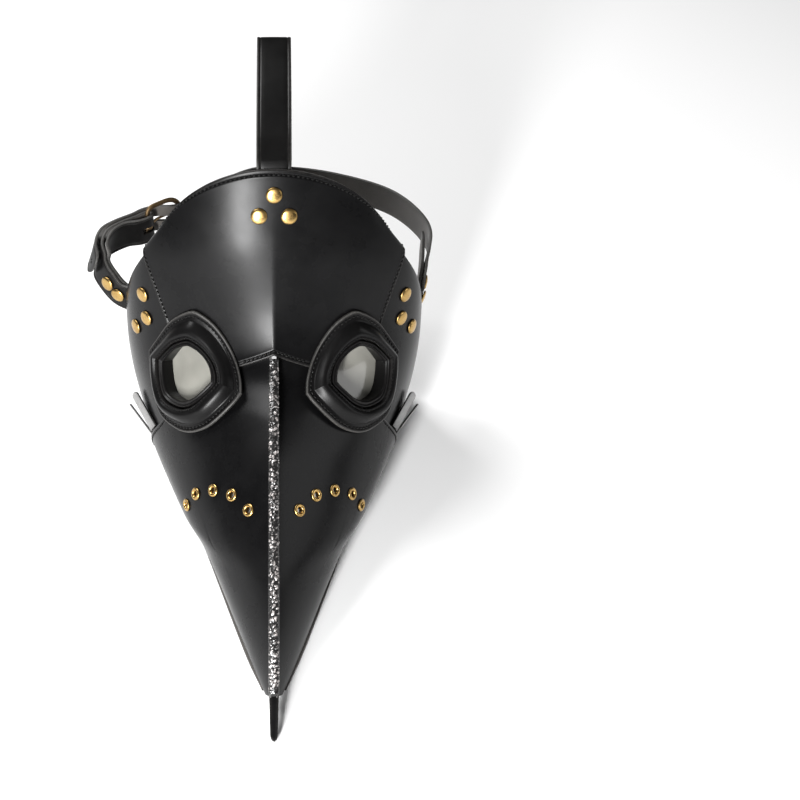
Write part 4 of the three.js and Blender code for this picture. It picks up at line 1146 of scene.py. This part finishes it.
def tab_loops(side, first, height, flip=1):
    """Section loops of a riveted tab inside the cheek, and its mid-line from there to the flex line."""
    near = [0, 0.001, 0.004, 0.009, 0.018, 0.03, 0.045]
    loops = []
    for d in np.concatenate([near, np.linspace(0.06, 0.94 - first, 16)]):
        across, out = strap_section(rounded(d / 0.05))
        loops.append(tab_point(side, first + d, across / HALF_W, height - HALF_T + flip * out))
    line = [tab_point(side, 1.0, np.array(0.0), height - HALF_T)]
    for i in range(3):
        point, _, out = tail_frame(side, i)
        line.append(point + out * (height - TAB_OUTER - HALF_T))
    return loops, line


def slot_cutter(s, o, reach):
    """A slot for the prong, through the strap at the buckle."""
    corners = [(-1, -1), (-1, 1), (1, 1), (1, -1)]
    return prism([[buckle_at(s, o) + AHEAD * x * reach / 2 + OUT * y * 12 + np.array([0, 0, z * 2.1])
                   for y, z in corners] for x in (-1, 1)])


def band():
    """Right tab, headband, and the free tail, as one strap."""
    tab, line = tab_loops("right", TAB_FROM, TAB_OUTER)
    path = centripetal(line + [(101.7, FLEX_Y + 2.8, 117.8), (103.4, 302, 121.5), (104.8, 311, 125.4),
                               (98, 332, BAND_Z), (80, 355, BAND_Z), (45, 373, BAND_Z), (14, 380.6, BAND_Z),
                               (-12, 380.5, BAND_Z), (-34, 367.5, BAND_Z), buckle_at(28, -3.6),
                               buckle_at(20, -1.6), buckle_at(9, 5.0), buckle_at(0, 7.0), buckle_at(-7, 6.4),
                               beside_left(3, 6.4), beside_left(2, 6.0), beside_left(1, 6.0),
                               beside_left(0, 6.4), (-121.2, 291.5, 116.8)])
    run = strap_loops(path, -leaning(path), -1, (0, 9.0))
    obj = loft("headband_strap", np.concatenate([tab, run]))
    holes = [slot_cutter(7.5, 3, 18)]
    for i, o in ((1, 6.0), (0, 6.4)):
        away = beside_left(i, 1) - beside_left(i, 0)
        holes.append(drill((beside_left(i, o), away), 1.7, reach=5.0))
    cut(obj, holes)
    bend(obj, "mask", "headband", (0.1018, 0.1665, 0.1145), (0.0988, 0.1720, 0.1185),
         "long_strap", "right_outer_tab")


def buckle_strap():
    """Left outer tab, round the buckle's bar, and back to the left inner tab."""
    fold = WIRE + 0.6 + HALF_T
    apart = 1.7
    turn = [buckle_at(math.cos(f * math.pi) * fold, -math.sin(f * math.pi) * fold)
            for f in (-0.5, -0.25, 0, 0.25, 0.5)]
    outer, first = tab_loops("left", TAB_FROM, TAB_OUTER)
    inner, last = tab_loops("left", TAB_SECOND, TAB_OUTER - TAB_PLY, -1)
    path = centripetal(first + [beside_left(i, apart) for i in range(4)] + [buckle_at(-7, fold * 0.9)] + turn
                       + [buckle_at(-7, -fold * 0.9)] + [beside_left(i, -apart) for i in (3, 2, 1, 0)]
                       + last[::-1], 1.1)
    run = strap_loops(path, -leaning(path), 1)
    obj = loft("buckle_strap", np.concatenate([outer, run, inner[::-1]]))
    cut(obj, [slot_cutter(0, 0, 12)])
    bend(obj, "mask", "headband", (-0.1155, 0.1665, 0.1155), (-0.1155, 0.1720, 0.1195),
         "short_strap", "left_outer_tab", "left_inner_tab")


def backing_tab():
    """Second layer on the right, which ends in a free rounded tongue inside the headband."""
    tab, line = tab_loops("right", TAB_SECOND, TAB_OUTER - TAB_PLY)
    point, wide, out = tail_frame("right", 2)
    ahead = np.cross(wide, out)
    line += [line[-1] + ahead * far - out * drift for far, drift in ((8, 0.6), (16, 1.6), (24.5, 3.0))]
    path = centripetal(line, 1.2)
    obj = loft("backing_strap", np.concatenate([tab, strap_loops(path, -leaning(path), -1, (0, 9.5))]))
    mount(obj, "mask", "strap_leather", "right_backing_tab")


def crown():
    """Crown strap in two pieces that meet in the middle of the front run."""
    loops = []
    for s in np.linspace(1, 0.02, 30):
        across, out = strap_section(rounded((1 - s) / 0.12))
        wide = 0.098 + 0.035 * float(smooth(0.1, 0.5, s))
        loops.append(shell(0.004 + 0.135 * s + 0 * across, across / HALF_W * wide,
                           ANCHOR_OUTER - HALF_T + out))
    front = centripetal([(0, 254.7, 230.1), (0, 266, 239.5), (0, 288, 250.5), (0, 312, 258.5),
                         (0, 336.8, 262.5), (0, 341.5, 261), (0, 345, 256.5), (0, 350, 238), (0, 360, 205),
                         (0, 372, 172), (0, 382.8, 152), (0, 385.1, 138), (0, 385.1, 122),
                         (0, 383.75, 111.9), (0, 380.6, 110.3), (0, 377.45, 111.9), (0, 376.1, 122),
                         (0, 376.1, 136), (0, 379.0, 150), (0, 374.2, 162)], 1.3)
    split = int(np.argmin(np.abs(front[:len(front) // 3, 1] - 300)))
    run = strap_loops(front, (1.0, 0.0, 0.0), -1, (0, 6.0))
    lower = loft("crown_strap_lower", np.concatenate([loops, run[:split + 1]]))
    bend(lower, "mask", "crown_front", (0, 0.1252, 0.2262), (0, 0.1335, 0.2330),
         "crown_strap_anchor", "crown_strap_front")
    upper = loft("crown_strap_upper", run[split:])
    bend(upper, "crown_front", "crown_back", (0, 0.2088, 0.2662), (0, 0.2168, 0.2582), "crown_strap_back")


def buckle_frame():
    """A wire bent to a rectangle, rounder at the bar's end."""
    n, m = 120, 18
    a = 2 * np.pi * np.arange(n) / n
    power = np.where(np.cos(a) > 0, 0.35, 0.8)
    cx, sy = (np.copysign(np.abs(x) ** power, x) for x in (np.cos(a), np.sin(a)))
    loops = BAR + AHEAD * ((1 - cx) * BUCKLE_LENGTH / 2)[:, None]
    loops[:, 2] += sy * BUCKLE_HEIGHT / 2
    away = np.cross(unit(np.roll(loops, -1, 0) - np.roll(loops, 1, 0)), OUT)
    w = 2 * math.pi * np.arange(m) / m
    squash = 1.0 + 0.12 * np.cos(2 * w)
    pts = loops[:, None] + WIRE * (away[:, None] * (np.cos(w) * squash)[None, :, None]
                                   + OUT[None, None] * (np.sin(w) * 0.96)[None, :, None])
    build = Build()
    # The last value darkens the wire's side towards the head and leaves its outer side bright.
    build.put(pts, quads(n, m, wrap_rows=True, wrap_cols=True), 0, np.tile(0.45 - 0.45 * np.sin(w), (n, 1)))
    mount(build.make("buckle_frame_bronze", [BRONZE_MAT], 60), "buckle_frame", "bronze", "buckle_frame")


def buckle_prong():
    """A pointed pin, with a ring that turns on the buckle's bar."""
    n, m = 40, 14
    w = 2 * math.pi * np.arange(m) / m
    r = WIRE + 1.15 + 0.72 * np.cos(w)
    ring = [[buckle_at(math.cos(a) * x, math.sin(a) * x) + [0, 0, 1.25 * y] for x, y in zip(r, np.sin(w))]
            for a in 2 * math.pi * np.arange(n) / n]
    build = Build()
    build.put(np.array(ring), quads(n, m, wrap_rows=True, wrap_cols=True), 0, 0.5)
    spine = centripetal([(3.0, 0.9, 0), (9, 3.4, 0), (18, 3.9, 0), (26, 3.3, 0), (28.5, 2.8, 0)], 0.7)
    r = 1.15 - 0.35 * spine[:, 0] / 28.5
    r[-3:] *= [0.9, 0.7, 0.35]
    pts = np.array([[buckle_at(p[0], p[1] + rr * 0.85 * math.sin(x)) + [0, 0, rr * math.cos(x)] for x in w]
                    for p, rr in zip(spine, r)])
    build.put(pts, tube(len(spine), m), 0, 0.2)
    mount(build.make("buckle_prong_bronze", [BRONZE_MAT], 60), "buckle_prong", "bronze", "buckle_prong")


# Assembly
forehead()
for side_name in SIDES:
    cheek(side_name)
    beak(side_name)
    eye(side_name)
    eyelets(side_name)
    for number in range(len(GILLS)):
        gill(side_name, number)
ridge()
underside()
tip_tab()
rivets()
band()
buckle_strap()
backing_tab()
crown()
buckle_frame()
buckle_prong()
mount(THREADS.make("mask_stitching", [THREAD_MAT], 80, outward=False), "mask", "leather")

# Floor, light and camera
scene = bpy.context.scene
floor_mesh = bpy.data.meshes.new("floor")
far, level = 8, -0.0002
floor_mesh.from_pydata([(-far, -far, level), (far, -far, level), (far, far, level), (-far, far, level)],
                       [], [(0, 1, 2, 3)])
floor = bpy.data.objects.new("floor", floor_mesh)
scene.collection.objects.link(floor)
floor_look = Look("floor_white", Roughness=0.9, Specular_IOR_Level=0.2)
floor_look.bsdf.inputs["Base Color"].default_value = (0.93, 0.93, 0.93, 1)
floor_mesh.materials.append(floor_look.mat)

world = bpy.data.worlds.new("studio")
world.use_nodes = True
sky = world.node_tree.nodes["Background"].inputs
sky["Color"].default_value, sky["Strength"].default_value = (1, 1, 1, 1), 0.07
scene.world = world


def area(name, place, aim, size, power):
    data = bpy.data.lights.new(name, "AREA")
    data.shape, data.size, data.size_y, data.energy = "RECTANGLE", size[0], size[1], power
    lamp = bpy.data.objects.new(name, data)
    scene.collection.objects.link(lamp)
    lamp.location = place
    lamp.rotation_euler = (Vector(aim) - Vector(place)).to_track_quat("-Z", "Y").to_euler()


area("top", (-0.80, 0.75, 1.5), (0, 0.05, 0.1), (1.0, 0.8), 34)
area("strip", (-0.36, -1.05, 0.44), (0, 0.15, 0.18), (0.18, 0.6), 34)
area("fill", (1.2, 0.0, 0.6), (0, 0.08, 0.1), (0.5, 0.8), 3)

camera_data = bpy.data.cameras.new("camera")
camera = bpy.data.objects.new("camera", camera_data)
scene.collection.objects.link(camera)
AIM = Vector((0.0, 0.065, 0.100))
DISTANCE, ELEVATION = 0.85, math.radians(45)
camera.location = AIM + Vector((0, -math.cos(ELEVATION), math.sin(ELEVATION))) * DISTANCE
camera.rotation_euler = (AIM - camera.location).to_track_quat("-Z", "Y").to_euler()
camera_data.sensor_width = 36.0
camera_data.lens = 61.2
camera_data.shift_x, camera_data.shift_y = 0.1575, -0.00625
scene.camera = camera
scene.view_settings.view_transform = "Standard"
